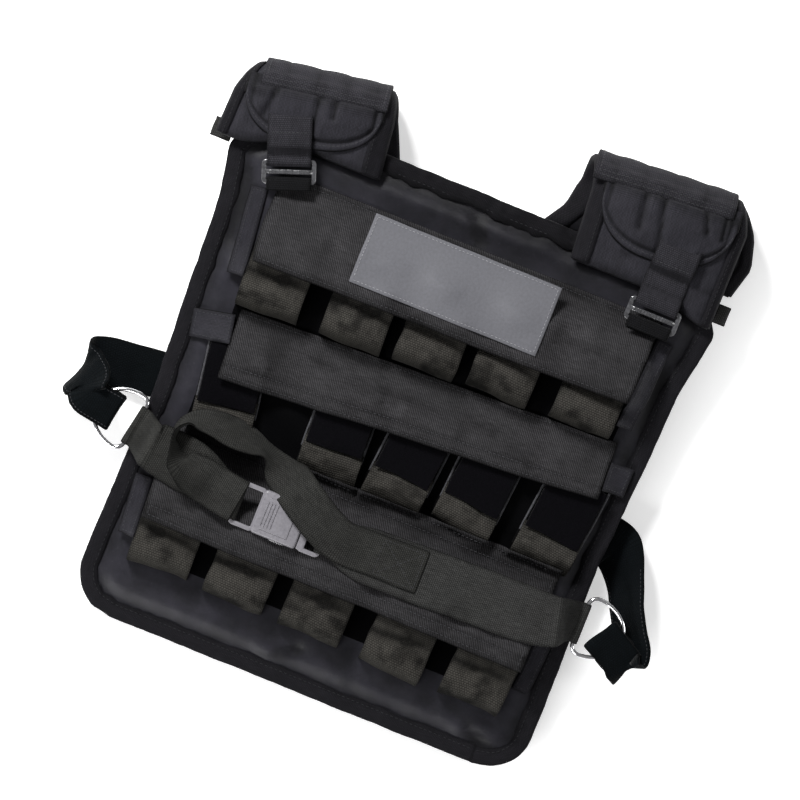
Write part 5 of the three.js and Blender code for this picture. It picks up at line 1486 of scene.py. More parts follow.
def soft_block(size: Sequence[float], middle: Sequence[float], round_by: float, taper: float = 0.0,
               steps: int = 4) -> tuple[Array, list[tuple[int, ...]]]:
    """Block with all its edges rounded.

    Args:
        size: Length, width and height in millimetres.
        middle: Middle of the block.
        round_by: Radius of its edges.
        taper: How much narrower it is at its right end.
        steps: Number of steps in each rounding.

    Returns:
        Places and faces.
    """
    half = np.array(size) / 2
    rows = []
    levels = [(-half[2] + round_by * (1 - math.cos(t)), round_by * (1 - math.sin(t)))
              for t in np.linspace(0, math.pi / 2, steps)]
    levels += [(-z, inset) for z, inset in reversed(levels)]
    for z, inset in levels:
        loop = rounded_loop(half[0] - inset, half[1] - inset, max(0.3, round_by * 1.3 - inset * 0.6))
        narrow = 1 - taper * smooth(-half[0], half[0], loop[:, 0]) / max(half[1], 1e-6)
        rows.append(np.stack([loop[:, 0], loop[:, 1] * narrow, np.full(len(loop), z)], 1) + middle)
    rows = np.array(rows)
    levels_count, count = rows.shape[:2]
    faces = [(i * count + j, i * count + (j + 1) % count, (i + 1) * count + (j + 1) % count, (i + 1) * count + j)
             for i in range(levels_count - 1) for j in range(count)]
    faces.append(tuple(reversed(range(count))))
    faces.append(tuple(range((levels_count - 1) * count, levels_count * count)))
    return rows.reshape(-1, 3), faces


def ring_along(path: Array, section: Array, lift: float = 0.0) -> Array:
    """Rings of a section swept round a closed path in the plane; the section is (outward, up)."""
    run = np.roll(path, -1, axis=0) - np.roll(path, 1, axis=0)
    out = np.stack([run[:, 1], -run[:, 0]], 1) / np.linalg.norm(run, axis=1, keepdims=True)
    rings = [np.stack([path[:, 0] + out[:, 0] * away, path[:, 1] + out[:, 1] * away,
                       np.full(len(path), high + lift)], 1) for away, high in section]
    return np.stack(rings, 1)


def rounded_section(half_wide: float, half_high: float, round_by: float) -> Array:
    """Section of a flat bar with rounded edges, as rows of outward and up."""
    return rounded_loop(half_wide, half_high, round_by, 4)


@dataclass
class Fitting:
    """Moulded or plated fitting with its own frame on the front plane."""

    name: str
    centre: tuple[float, float, float]
    turn_deg: float
    finish: Finish

    def place(self, points: Array) -> Array:
        """Turns and moves places of the fitting into the row frame."""
        turn = math.radians(self.turn_deg)
        x, y, z = points[..., 0], points[..., 1], points[..., 2]
        moved = np.stack([x * math.cos(turn) - y * math.sin(turn) + self.centre[0],
                          x * math.sin(turn) + y * math.cos(turn) + self.centre[1], z + self.centre[2]], -1)
        return LAYOUT.from_front(moved)

    def add(self, cloth: Cloth, points: Array, faces: Sequence[Sequence[int]], finish: int = 0) -> None:
        """Adds places and faces of the fitting to its mesh."""
        cloth.add(self.place(points), points, faces, finish)

    def sweep(self, cloth: Cloth, rings: Array, finish: int = 0) -> None:
        """Adds a closed sweep to the mesh of the fitting."""
        cloth.tube(self.place(rings), rings, finish, closed=True)


@dataclass
class Ring(Fitting):
    """Steel ring with a straight bar inside and a bow outside."""

    length: float = 56.0
    depth: float = 43.0
    wire: float = 3.8
    corner: float = 8.0

    def build(self, wardrobe: Wardrobe) -> bpy.types.Object:
        """Builds the wire along the bar, the corners and the bow."""
        half, reach = (self.length - self.wire) / 2, self.depth - self.wire
        low = [[self.corner + self.corner * math.cos(t), -half + self.corner + self.corner * math.sin(t)]
               for t in np.linspace(math.pi, 1.5 * math.pi, 10)]
        bow = [[self.corner + (reach - self.corner) * math.cos(t), half * math.sin(t)]
               for t in np.linspace(-math.pi / 2, math.pi / 2, 46)[1:-1]]
        high = [[x, -y] for x, y in reversed(low)]
        bar = [[0.0, y] for y in np.linspace(half - self.corner, -half + self.corner, 12)[1:-1]]
        path = np.array(low + bow + high + bar)
        circle = np.array([[math.cos(t), math.sin(t)] for t in np.linspace(0, 2 * math.pi, 17)[:-1]])
        cloth = Cloth([self.finish])
        self.sweep(cloth, ring_along(path, circle * self.wire / 2))
        seam = np.array([[0.0, -0.9, 0.0], [0.0, 0.9, 0.0]])
        rings = np.array([[[circle[k, 0] * r, y, circle[k, 1] * r] for k in range(16)]
                          for y, r in ((-0.9, 1.9), (-0.4, 2.05), (0.4, 2.05), (0.9, 1.9))])
        cloth.tube(self.place(rings + seam.mean(axis=0)), rings, 0)
        return cloth.build(self.name, wardrobe, [self.name])


@dataclass
class TriGlide(Fitting):
    """Sliding bar buckle with three bars."""

    width: float = 48.0
    bar: float = 4.2
    slot: float = 4.8
    thickness: float = 3.2

    def build(self, wardrobe: Wardrobe) -> bpy.types.Object:
        """Builds the outer frame and the middle bar with grip ribs."""
        height = 3 * self.bar + 2 * self.slot
        cloth = Cloth([self.finish])
        path = rounded_loop(self.width / 2 - self.bar / 2, height / 2 - self.bar / 2, 2.2, 6)
        self.sweep(cloth, ring_along(path, rounded_section(self.bar / 2, self.thickness / 2, 1.1)))
        section = rounded_section(self.bar / 2, self.thickness / 2 - 0.1, 1.0)
        ends = [np.stack([np.full(len(section), x), section[:, 0], section[:, 1]], 1)
                for x in np.linspace(-self.width / 2 + self.bar * 0.7, self.width / 2 - self.bar * 0.7, 9)]
        cloth.tube(self.place(np.array(ends)), np.array(ends), 0)
        for x in np.linspace(-0.36, 0.36, 13) * self.width:
            points, faces = soft_block((1.0, self.bar * 0.8, 0.6), (x, 0.0, self.thickness / 2), 0.25, steps=3)
            self.add(cloth, points, faces)
        return cloth.build(self.name, wardrobe, [self.name])


@dataclass
class Buckle:
    """Side release buckle: a slotted housing with a strap frame at its left and a latch at its right."""

    centre: tuple[float, float] = (-63.9, 139.93)
    floor: float = 37.4
    bar_height: float = 41.75
    length: float = 42.0
    width: float = 40.0
    thickness: float = 9.0
    bar: float = 4.0
    frame_slot: float = 18.0
    latch: float = 22.0
    gap: float = 0.4

    def fitting(self, name: str) -> Fitting:
        """Frame of the buckle, with its origin at the housing's middle on the floor."""
        return Fitting(name, (self.centre[0], self.centre[1], self.floor), 0.0, Wardrobe.GREY)

    def build_body(self, wardrobe: Wardrobe) -> bpy.types.Object:
        """Builds the housing, its ribs, its release windows and the strap frame."""
        fitting = self.fitting("buckle_body")
        cloth = Cloth([Wardrobe.GREY, Wardrobe.BLACK])
        half, wide = self.length / 2, self.width / 2
        fitting.add(cloth, *soft_block((self.length, self.width, self.thickness * 0.9),
                                       (0, 0, self.thickness * 0.45), 2.2))
        fitting.add(cloth, *soft_block((self.length * 0.62, self.width * 0.72, 1.4),
                                       (-1.5, 0, self.thickness * 0.9 + 0.1), 0.6))
        for side in (-1, 1):
            fitting.add(cloth, *soft_block((self.length * 0.36, 3.2, self.thickness * 0.45),
                                           (4.0, side * (wide - 0.4), self.thickness * 0.45), 1.2), finish=1)
            for step in (-3.6, -1.2, 1.2, 3.6):
                fitting.add(cloth, *soft_block((1.1, 1.2, self.thickness * 0.42),
                                               (4.0 + step, side * (wide + 0.9), self.thickness * 0.45), 0.4))
        for step in range(4):
            fitting.add(cloth, *soft_block((1.2, self.width * 0.56, 0.9),
                                           (-half + 6.5 + 3 * step, 0, self.thickness * 0.9 + 1.0), 0.35))
        level = self.bar_height - self.floor
        reach = self.frame_slot + self.bar
        path = rounded_loop(reach / 2 + 1.5 - self.bar / 2, wide - self.bar / 2, 3.0, 6)
        path[:, 0] -= half + reach / 2 - 1.5
        fitting.sweep(cloth, ring_along(path, rounded_section(self.bar / 2, 1.6, 0.9), level))
        return cloth.build("buckle_body", wardrobe, ["buckle_body"])

    def build_latch(self, wardrobe: Wardrobe) -> bpy.types.Object:
        """Builds the latch plate that sits in the housing's mouth."""
        fitting = self.fitting("buckle_latch")
        cloth = Cloth([Wardrobe.GREY])
        start = self.length / 2 + self.gap
        level = self.bar_height - self.floor
        path = rounded_loop(self.latch / 2 - self.bar / 2, self.width / 2 - self.bar / 2, 3.0, 6)
        path[:, 0] += start + self.latch / 2
        fitting.sweep(cloth, ring_along(path, rounded_section(self.bar / 2, 1.6, 0.9), level))
        fitting.add(cloth, *soft_block((7.0, self.width - 2, 3.4), (start + 3.6, 0, level), 1.0))
        return cloth.build("buckle_latch", wardrobe, ["buckle_latch"])


# Shoulders

@dataclass
class Yoke:
    """Padded yoke from the back panel over one shoulder to the front panel. Millimetres, over the ground."""

    key: str
    side: int
    ridge: tuple[float, float]
    turn_deg: float
    glide_turn_deg: float
    front_end: float
    flap_reach: float
    edges: tuple[tuple[float, float, float], ...]
    channels: tuple[tuple[tuple[float, float], tuple[float, float]], ...]
    strap_steps: tuple[float, ...]
    tab_length: float
    thickness: float = 12.0
    edge_thickness: float = 4.0
    roll: float = 14.0
    floor_gap: float = 0.4
    back_end: float = 467.2
    band_back: float = -12.0
    band_front: float = 34.0
    flap_width: float = 122.0
    flap_thickness: float = 6.0
    flap_min: float = 8.0
    flap_roundness: float = 2.4
    tuck: float = 7.0
    droop: float = 13.0
    seed: int = 31

    def __post_init__(self) -> None:
        """Works out the directions across and along the yoke and its slope on the front."""
        turn = math.radians(self.turn_deg)
        tilt = math.radians(LAYOUT.tilt_deg)
        self.across = np.array([math.cos(turn), math.sin(turn)])
        self.along = np.array([-math.sin(turn), math.cos(turn)])
        self.slope = math.atan(math.tan(tilt) * math.cos(turn))
        self.tilt = tilt

    def front_middle(self, offset: Array) -> Array:
        """Height of the yoke's middle layer over the front panel at the ridge line."""
        y = self.ridge[1] + offset * self.across[1]
        return LAYOUT.lift + y * math.tan(self.tilt) + (LAYOUT.panel_thickness + LAYOUT.gap
                                                       + self.thickness / 2) / math.cos(self.tilt)

    def bend_radius(self, offset: Array) -> Array:
        """Radius of the middle layer's bend over the ridge."""
        floor, rise = self.thickness / 2 + self.floor_gap, math.tan(self.slope)
        room = self.front_middle(offset) - self.thickness / 2 * rise - floor
        return room / (1 + math.cos(self.slope) + math.sin(self.slope) * rise + rise)

    def length_at(self, stage: Array, offset: Array) -> Array:
        """Length from the ridge along the middle layer at stages from 0 to 3."""
        radius = self.bend_radius(offset)
        centre = -self.thickness / 2 - radius
        back_bend, front_bend = -radius * math.pi / 2, radius * (math.pi / 2 + self.slope)
        bend_end = centre - radius * math.sin(self.slope)
        along_at = lambda y: (y - self.ridge[1] - offset * self.across[1]) / self.along[1]
        back = back_bend + along_at(self.back_end) - centre
        front = front_bend + (bend_end - along_at(self.front_end)) / math.cos(self.slope)
        front = front + self.droop * smooth(18, 70, offset * self.side)
        low = back + (back_bend - back) * np.clip(stage / 0.4, 0, 1)
        low = low - back_bend * np.clip((stage - 0.4) / 0.6, 0, 1)
        high = front_bend * np.clip(stage - 1, 0, 1) + (front - front_bend) * np.clip(stage - 2, 0, 1)
        return low + high

    def edge_at(self, column: int, stage: Array) -> Array:
        """Distance of the arm edge (column 1) or neck edge (column 2) from the middle line."""
        return np.interp(stage, [row[0] for row in self.edges], [row[column] for row in self.edges])

    def point_at(self, length: Array, offset: Array, height: Array) -> Array:
        """Places at lengths from the ridge, distances across and heights over the outer face."""
        radius = self.bend_radius(offset)
        floor = self.thickness / 2 + self.floor_gap
        heading = np.clip(math.pi / 2 + length / radius, 0, math.pi + self.slope)
        beyond_front = np.maximum(0, length - radius * (math.pi / 2 + self.slope))
        beyond_back = np.minimum(0, length + radius * math.pi / 2)
        reach = radius + self.thickness / 2 + height
        forward = (-self.thickness / 2 - radius + reach * np.sin(heading)
                   - beyond_front * math.cos(self.slope) + beyond_back)
        z = floor + radius - reach * np.cos(heading) - beyond_front * math.sin(self.slope)
        return np.stack([self.ridge[0] + offset * self.across[0] + forward * self.along[0],
                         self.ridge[1] + offset * self.across[1] + forward * self.along[1], z], -1)

    def channel_depth(self, points: Array, width: float) -> Array:
        """Depth share, from 0 to 1, of the sewn channels at places."""
        depth = np.zeros(points.shape[:-1])
        for start, end in self.channels:
            run = np.subtract(end, start)
            share = np.clip(((points[..., 0] - start[0]) * run[0] + (points[..., 1] - start[1]) * run[1])
                            / (run @ run), 0, 1)
            away = np.hypot(points[..., 0] - start[0] - share * run[0], points[..., 1] - start[1] - share * run[1])
            depth = np.maximum(depth, np.exp(-(away / width) ** 2))
        return depth

    def pad_grids(self) -> tuple[Array, Array, Array]:
        """Grids of the pad's outer face, inner face and thread places."""
        stages = np.concatenate([np.linspace(0, 0.4, 9)[:-1], np.linspace(0.4, 1, 15)[:-1],
                                 np.linspace(1, 2, 15)[:-1], np.linspace(2, 3, 22)])
        shares = np.concatenate([np.linspace(0, 1, 7)[:-1] * 0.16, np.linspace(0.16, 0.84, 26),
                                 1 - np.linspace(1, 0, 7)[1:] * 0.16])
        share, stage = np.meshgrid(shares, stages, indexing="ij")
        arm, neck = self.edge_at(1, stage), self.edge_at(2, stage)
        across = -arm + (arm + neck) * share
        offset = across * -self.side
        length = self.length_at(stage, offset)
        ends = np.minimum(length - self.length_at(stage * 0, offset), self.length_at(stage * 0 + 3, offset) - length)
        rim = np.minimum(np.minimum(across + arm, neck - across), ends * 2)
        thick = self.edge_thickness + (self.thickness - self.edge_thickness) * smooth(0, self.roll, rim)
        grain = Grain(self.seed)
        open_front = smooth(self.band_front, self.band_front + 20, length)
        open_back = smooth(-self.band_back, -self.band_back + 12, -length)
        pucker = grain.at(across * 0.5, length, 12.0) * smooth(2, 10, rim) * (1 - smooth(22, 40, rim))
        pucker = pucker + 0.8 * grain.at(across, length * 0.6, 19.0) * smooth(5, 14, rim)
        channel = 1 - np.abs(np.sin((across + 8) / 27.0 * math.pi)) ** 0.35
        quilt = channel * smooth(6, 16, rim)
        outer = thick / 2 + 0.6 * pucker - (2.6 * open_back + 1.4 * (1 - open_back) * (1 - open_front)) * quilt
        outer = outer + 0.7 * grain.layered(across, length, 34.0) * smooth(6, 16, rim) * (open_front + open_back)
        inner = thick / 2
        upper = self.point_at(length, offset, -self.thickness / 2 + np.maximum(outer, 0.8))
        upper[..., 2] = np.maximum(upper[..., 2], self.floor_gap)
        lower = self.point_at(length, offset, -self.thickness / 2 - inner)
        lower[..., 2] = np.maximum(lower[..., 2], self.floor_gap)
        # Painted shade: dark on the half that runs down to the back panel, in the quilted channels and near the rims,
        # plus darker patches at random.
        shade = (0.8 * smooth(1.0, 0.7, stage) + 0.35 * quilt + 0.5 * smooth(10, 3, rim)
                 + 0.6 * smooth(0.1, 0.8, grain.layered(across * 0.8, length * 1.5, 16.0)))
        return upper, lower, np.stack([length, offset, shade], -1)

    def build_pad(self, wardrobe: Wardrobe) -> bpy.types.Object:
        """Builds the pad and folds tape round its long edges."""
        upper, lower, thread = self.pad_grids()
        cloth = Cloth([Wardrobe.YOKE, Wardrobe.TAPE, Wardrobe.EDGE_THREAD])
        cloth.shell(LAYOUT.from_ground(upper), LAYOUT.from_ground(lower), thread, round_edge=0.3)
        for start, inward, steps in ((0, 1, 2), (-1, -1, 4)):
            self.add_tape(cloth, upper, lower, thread, start, inward, steps)
        piece = cloth.build(f"shoulder_pad_{self.key}", wardrobe, [f"shoulder_pad_{self.key}"])
        return piece

    def add_tape(self, cloth: Cloth, upper: Array, lower: Array, thread: Array, start: int, inward: int,
                 steps: int) -> None:
        """Adds tape folded round one long edge of the pad, with its stitches."""
        picks = [start + inward * k for k in range(steps, -1, -1)]
        middle = (upper + lower) / 2
        out = middle[start] - middle[start + inward]
        out /= np.linalg.norm(out, axis=1, keepdims=True)
        up = upper[start] - lower[start]
        up /= np.linalg.norm(up, axis=1, keepdims=True)
        sections = []
        for gap in (1.5, 0.35):
            high = [upper[p] + up * gap for p in picks]
            low = [lower[p] - up * gap * 0.5 for p in reversed(picks)]
            turn = [middle[start] + out * (1.2 + gap)]
            sections.append(high + turn + low)
        rings = np.stack([*sections[0], *reversed(sections[1])], 1)
        rings[..., 2] = np.maximum(rings[..., 2], 0.05)
        threads = np.zeros(rings.shape)
        threads[..., 0] = thread[start, :, 0][:, None]
        threads[..., 1] = np.arange(rings.shape[1]) * 3.0
        cloth.tube(LAYOUT.from_ground(rings), threads, 1)
        seam = upper[start + inward * (steps - 1)] + up * 1.5
        seam[:, 2] = np.maximum(seam[:, 2], 0.5)
        add_stitches(cloth, LAYOUT.from_ground(seam), up, 2, length=2.6, gap=1.5)

    def flap_middle(self) -> float:
        """Distance of the round flap's middle from the yoke's middle line."""
        return (self.edge_at(1, 2.0) - self.edge_at(2, 2.0)) / 2 * self.side

    def flap_depth(self, share: Array) -> Array:
        """Reach of the round flap at shares across it."""
        bow = (1 - np.abs(share) ** self.flap_roundness) ** (1 / self.flap_roundness)
        return np.maximum(self.flap_min, self.flap_reach * bow)

    def build_flap(self, wardrobe: Wardrobe) -> bpy.types.Object:
        """Builds the quilted round flap with its corded edge."""
        shares = np.sin(np.linspace(-math.pi / 2, math.pi / 2, 61))
        rows = np.concatenate([np.linspace(0, 0.85, 26)[:-1], np.linspace(0.85, 1, 9)])
        share, row = np.meshgrid(shares, rows, indexing="ij")
        offset = self.flap_middle() + share * self.flap_width / 2
        depth = self.flap_depth(share)
        length = self.band_front - self.tuck + row * (depth + self.tuck)
        side_rim = (1 - np.abs(share)) * self.flap_width / 2
        rim = np.minimum(side_rim, (1 - row) * depth)
        grain = Grain(self.seed + 2)
        face = self.point_at(length, offset, length * 0 + 1)
        thick = 2.4 + (self.flap_thickness - 1.6) * smooth(2.5, 11, rim)
        piping = 0.9 * bump(2.4, 2.6, rim) - 1.3 * bump(6.2, 2.2, rim)
        crease = 4.2 * self.channel_depth(face, 2.3) * smooth(3, 9, rim)
        strap = 1.1 * smooth(21, 17, np.abs(offset - self.strap_offset())) * smooth(3, 8, rim)
        waves = 1.3 * grain.layered(share * 60, length, 22.0) * smooth(4, 12, rim) + 2.2 * smooth(6, 26, rim)
        height = LAYOUT.gap + np.maximum(thick + piping - crease + waves + strap, 0.9)
        under = smooth(self.band_front + 3.5, self.band_front - 1.0, length)
        height = height * (1 - under) + (LAYOUT.gap + 1.0) * under
        upper = self.point_at(length, offset, height)
        lower = self.point_at(length, offset, height * 0 + LAYOUT.gap)
        cloth = Cloth([Wardrobe.YOKE, Wardrobe.THREAD, Wardrobe.TAPE])
        places = LAYOUT.from_ground(upper)
        # Painted shade: in the sewn channels, in the groove inside the corded edge, next to the band and at the rim,
        # plus darker patches at random.
        shade = (0.9 * self.channel_depth(face, 1.9) * smooth(2, 7, rim) + 0.8 * np.exp(-((rim - 6.6) / 1.5) ** 2)
                 + 0.6 * smooth(9, 2, length - self.band_front) + 0.7 * smooth(1.6, 0, rim)
                 + 0.55 * smooth(0.1, 0.8, grain.layered(offset, length * 1.4, 17.0)))
        cloth.shell(places, LAYOUT.from_ground(lower), np.stack([length, offset, shade], -1), round_edge=0.45,
                    side_finish=2)
        last = len(shares) - 1
        route = [(k / last, 1 - 5.6 / max(8.0, float(self.flap_depth(shares[k])))) for k in range(4, last - 3)]
        stitch_on_grid_fine(cloth, places, route, 1)
        name = f"shoulder_flap_{self.key}"
        piece = cloth.build(name, wardrobe, [name], slot="flap_weave")
        return piece

    def strap_offset(self) -> float:
        """Distance of the adjusting strap's line from the yoke's middle line, over the round flap."""
        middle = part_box(f"shoulder_strap_{self.key}")
        centre = (middle[0] + middle[1]) / 2 / MM - Vector((LAYOUT.shift_x, LAYOUT.shift_y, 0))
        return float((centre.x - self.ridge[0]) * self.across[0] + (centre.y - self.ridge[1]) * self.across[1])

    def build_band(self, wardrobe: Wardrobe) -> bpy.types.Object:
        """Builds the band of webbing across the ridge, with one row of stitches by its back edge, two by its front edge
        and one down each side.
        """
        rows = np.linspace(self.band_back, self.band_front + 1.5, 28)
        shares = np.linspace(0.0, 1.0, 50)
        share, length = np.meshgrid(shares, rows, indexing="ij")
        arm, neck = self.edge_at(1, 1.0) * 0.95, self.edge_at(2, 1.0) * 0.95
        offset = (-arm + (arm + neck) * share) * -self.side
        grain = Grain(self.seed + 4)
        length = length + 1.2 * grain.at(offset, offset * 0, 37.0)
        quilt = 1 - np.abs(np.sin((offset * -self.side + 8) / 27.0 * math.pi)) ** 0.35
        lift = 0.4 + 0.5 * (1 + grain.at(offset, length, 16.0)) - 1.6 * quilt
        lift = np.maximum(lift, 0.2) + 1.9 * smooth(self.band_front - 13, self.band_front - 7, length)
        lower = self.point_at(length, offset, lift)
        upper = self.point_at(length, offset, lift + 1.7)
        cloth = Cloth([Wardrobe.BAND, Wardrobe.THREAD])
        places = LAYOUT.from_ground(upper)
        # Painted shade: in the quilted channels and along the front edge, plus darker patches at random.
        shade = (0.5 * quilt + 0.6 * smooth(2.5, 0, self.band_front + 1.5 - length)
                 + 0.5 * smooth(0.1, 0.8, grain.layered(offset * 1.4, length, 14.0)))
        cloth.shell(places, LAYOUT.from_ground(lower), np.stack([offset, length, shade], -1), round_edge=0.4)
        for row in (0.07, 0.86, 0.93):
            stitch_on_grid(cloth, places, [(0.02, row), (0.98, row)], 1)
        for column in (0.03, 0.97):
            stitch_on_grid(cloth, places, [(column, 0.07), (column, 0.93)], 1)
        name = f"ridge_band_{self.key}"
        return cloth.build(name, wardrobe, [name])

    def glide_place(self) -> tuple[float, float, float]:
        """Middle of the sliding bar buckle in the front plane."""
        low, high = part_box(f"tri_glide_{self.key}")
        centre = LAYOUT.front_of_row(np.array((low + high) / 2))
        return tuple(float(c) for c in centre)

    def build_straps(self, wardrobe: Wardrobe) -> None:
        """Builds the sliding bar buckle, the strap down to it and the strap that holds it below."""
        x, y, z = self.glide_place()
        turn = math.radians(self.glide_turn_deg)
        across = np.array([math.cos(turn), math.sin(turn), 0.0])
        along = np.array([-math.sin(turn), math.cos(turn), 0.0])
        up = np.array([0.0, 0.0, 1.0])
        TriGlide(f"tri_glide_{self.key}", (x, y, z), self.glide_turn_deg, Wardrobe.BLACK).build(wardrobe)
        radius = math.hypot(4.2, 3.2) / 2 + 0.4 + 0.7
        low_bar = np.array([x, y, z]) - along * 9.0
        anchor = fold_round(low_bar, -along, up, across, radius, (7.0, 0.0, 7.0), 38.0)
        name = f"anchor_strap_{self.key}"
        Strap(name, anchor, 1.4, LAYOUT.from_front, Wardrobe.ANCHOR, step=1.2, wave=0.1, edge_wave=0.1).build(wardrobe)
        high_bar = np.array([x, y, z]) + along * 9.0
        fold = fold_round(high_bar, along, up, across, radius, (7.0, 0.0, 7.0), 38.0)
        turned = LAYOUT.from_front(fold[:, :3]) / MM - np.array([LAYOUT.shift_x, LAYOUT.shift_y, 0])
        fold = np.concatenate([turned, fold[:, 3:]], axis=1)
        bar = LAYOUT.from_front(high_bar) / MM - np.array([LAYOUT.shift_x, LAYOUT.shift_y, 0])
        rows = []
        for distance in self.strap_steps:
            place = bar[:2] + along[:2] * distance
            rows.append([*place, self.strap_height(place, along, across), *across, 38.0])
        rows[0][2] -= 5.5
        rows[1][2] -= 2.4
        stations = np.concatenate([np.array(rows), fold])
        strap = Strap(f"shoulder_strap_{self.key}", stations, 1.5, LAYOUT.from_ground, Wardrobe.BAND, step=1.6,
                      wave=0.15, edge_wave=0.25)
        strap.build(wardrobe, stitches=[[(0.02, 0.08), (0.02, 0.92)], [(0.3, 0.08), (0.3, 0.92)]])

    def strap_height(self, place: Array, along: Array, across: Array) -> float:
        """Height of the adjusting strap's middle layer at a place in plan."""
        top = -math.inf
        for side in (-19.0, 0.0, 19.0):
            for step in (-3.0, 0.0, 3.0):
                x, y = place + across[:2] * side + along[:2] * step
                offset = (x - self.ridge[0]) * self.across[0] + (y - self.ridge[1]) * self.across[1]
                forward = (x - self.ridge[0]) * self.along[0] + (y - self.ridge[1]) * self.along[1]
                share = np.clip((offset - self.flap_middle()) / (self.flap_width / 2), -1, 1)
                end = self.point_at(np.array(self.band_front + self.flap_depth(share)), np.array(offset), np.array(0.0))
                over = LAYOUT.gap + self.flap_thickness + 1.4 if y > end[1] - 1 else 0.0
                rise = (self.thickness / 2 + over) / math.cos(self.slope)
                if y > self.front_end - 1:
                    top = max(top, float(self.front_middle(offset) + forward * math.tan(self.slope) + rise))
        return top + LAYOUT.gap + 0.75

    def build_tab(self, wardrobe: Wardrobe) -> None:
        """Builds the small folded tab beside the front panel's arm edge."""
        name = f"arm_tab_{self.key}"
        low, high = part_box(name)
        middle = LAYOUT.front_of_row(np.array((low + high) / 2))
        out = np.array([float(self.side), 0.0, 0.0])
        leg = self.tab_length - 3.2
        fold = fold_round(middle + out * (self.tab_length / 2 - 2.3), -out, np.array([0.0, 0.0, 1.0]),
                          np.array([0.0, 1.0, 0.0]), 0.85, (leg, 0.0, leg), 16.5)
        Strap(name, fold, 1.2, LAYOUT.from_front, Wardrobe.WEBBING, step=0.9, wave=0.1, edge_wave=0.3,
              cup=0.2).build(wardrobe)

    def build(self, wardrobe: Wardrobe) -> None:
        """Builds everything on this shoulder."""
        self.build_pad(wardrobe)
        self.build_flap(wardrobe)
        self.build_band(wardrobe)
        self.build_straps(wardrobe)
        self.build_tab(wardrobe)


def stitch_on_grid_fine(cloth: Cloth, upper: Array, route: Sequence[tuple[float, float]], finish: int) -> None:
    """Adds stitches along a route of many close shares on a grid of places."""
    normals = grid_normals(upper)
    rows, columns = upper.shape[:2]
    path, facing = [], []
    for a, b in route:
        i, j = a * (rows - 1), b * (columns - 1)
        i0, j0 = min(int(i), rows - 2), min(int(j), columns - 2)
        fi, fj = i - i0, j - j0
        for grid, target in ((upper, path), (normals, facing)):
            target.append(grid[i0, j0] * (1 - fi) * (1 - fj) + grid[i0 + 1, j0] * fi * (1 - fj)
                          + grid[i0, j0 + 1] * (1 - fi) * fj + grid[i0 + 1, j0 + 1] * fi * fj)
    add_stitches(cloth, np.array(path), np.array(facing), finish)


# Sub-assemblies

def quad_of(low_left, low_right, high_left, high_right) -> Quad:
    """Patch from corners given as shares of the panel's width and height."""
    scale = np.array([LAYOUT.width, LAYOUT.height])
    return Quad(*(tuple(np.array(corner) * scale) for corner in (low_left, low_right, high_left, high_right)))


@dataclass
class Body:
    """Front and back panels with their seam tapes."""

    width: float = LAYOUT.width
    height: float = LAYOUT.height
    creases: tuple[Crease, ...] = (
        Crease((-22, 25), (-7, 35), 5.0, -2.2), Crease((-36, 20), (-20, 27), 6.0, 1.6),
        Crease((158, 28), (180, 15), 5.0, -2.4), Crease((150, 20), (172, 34), 6.0, 1.5),
        Crease((-10, 458), (8, 428), 6.0, -1.6), Crease((-90, 440), (60, 447), 9.0, 1.6),
        Crease((-200, 300), (-188, 330), 6.0, 1.6), Crease((-196, 352), (-205, 410), 7.0, -1.6),
        Crease((205, 330), (196, 380), 7.0, -1.6),
    )

    def build(self, wardrobe: Wardrobe, relief: Relief) -> None:
        """Builds both panels and both tapes."""
        covered = [Quad((-176, 60), (180, 60), (-172, 421), (182, 421))]
        back = Panel("back_panel", PanelShape(self.width - 6, self.height - 6, 3.0), LAYOUT.back_thickness,
                     LAYOUT.from_ground, [], [Quad((-190, 20), (190, 20), (-190, 440), (190, 440))], seed=5, swell=1.5)
        front = Panel("front_panel", PanelShape(self.width, self.height), LAYOUT.panel_thickness,
                      LAYOUT.from_front, list(self.creases), covered, seed=8, swell=5.0, rumple=1.0)
        back.build(wardrobe)
        back.build_tape(wardrobe)
        front.build(wardrobe, relief)
        front.build_tape(wardrobe, relief)


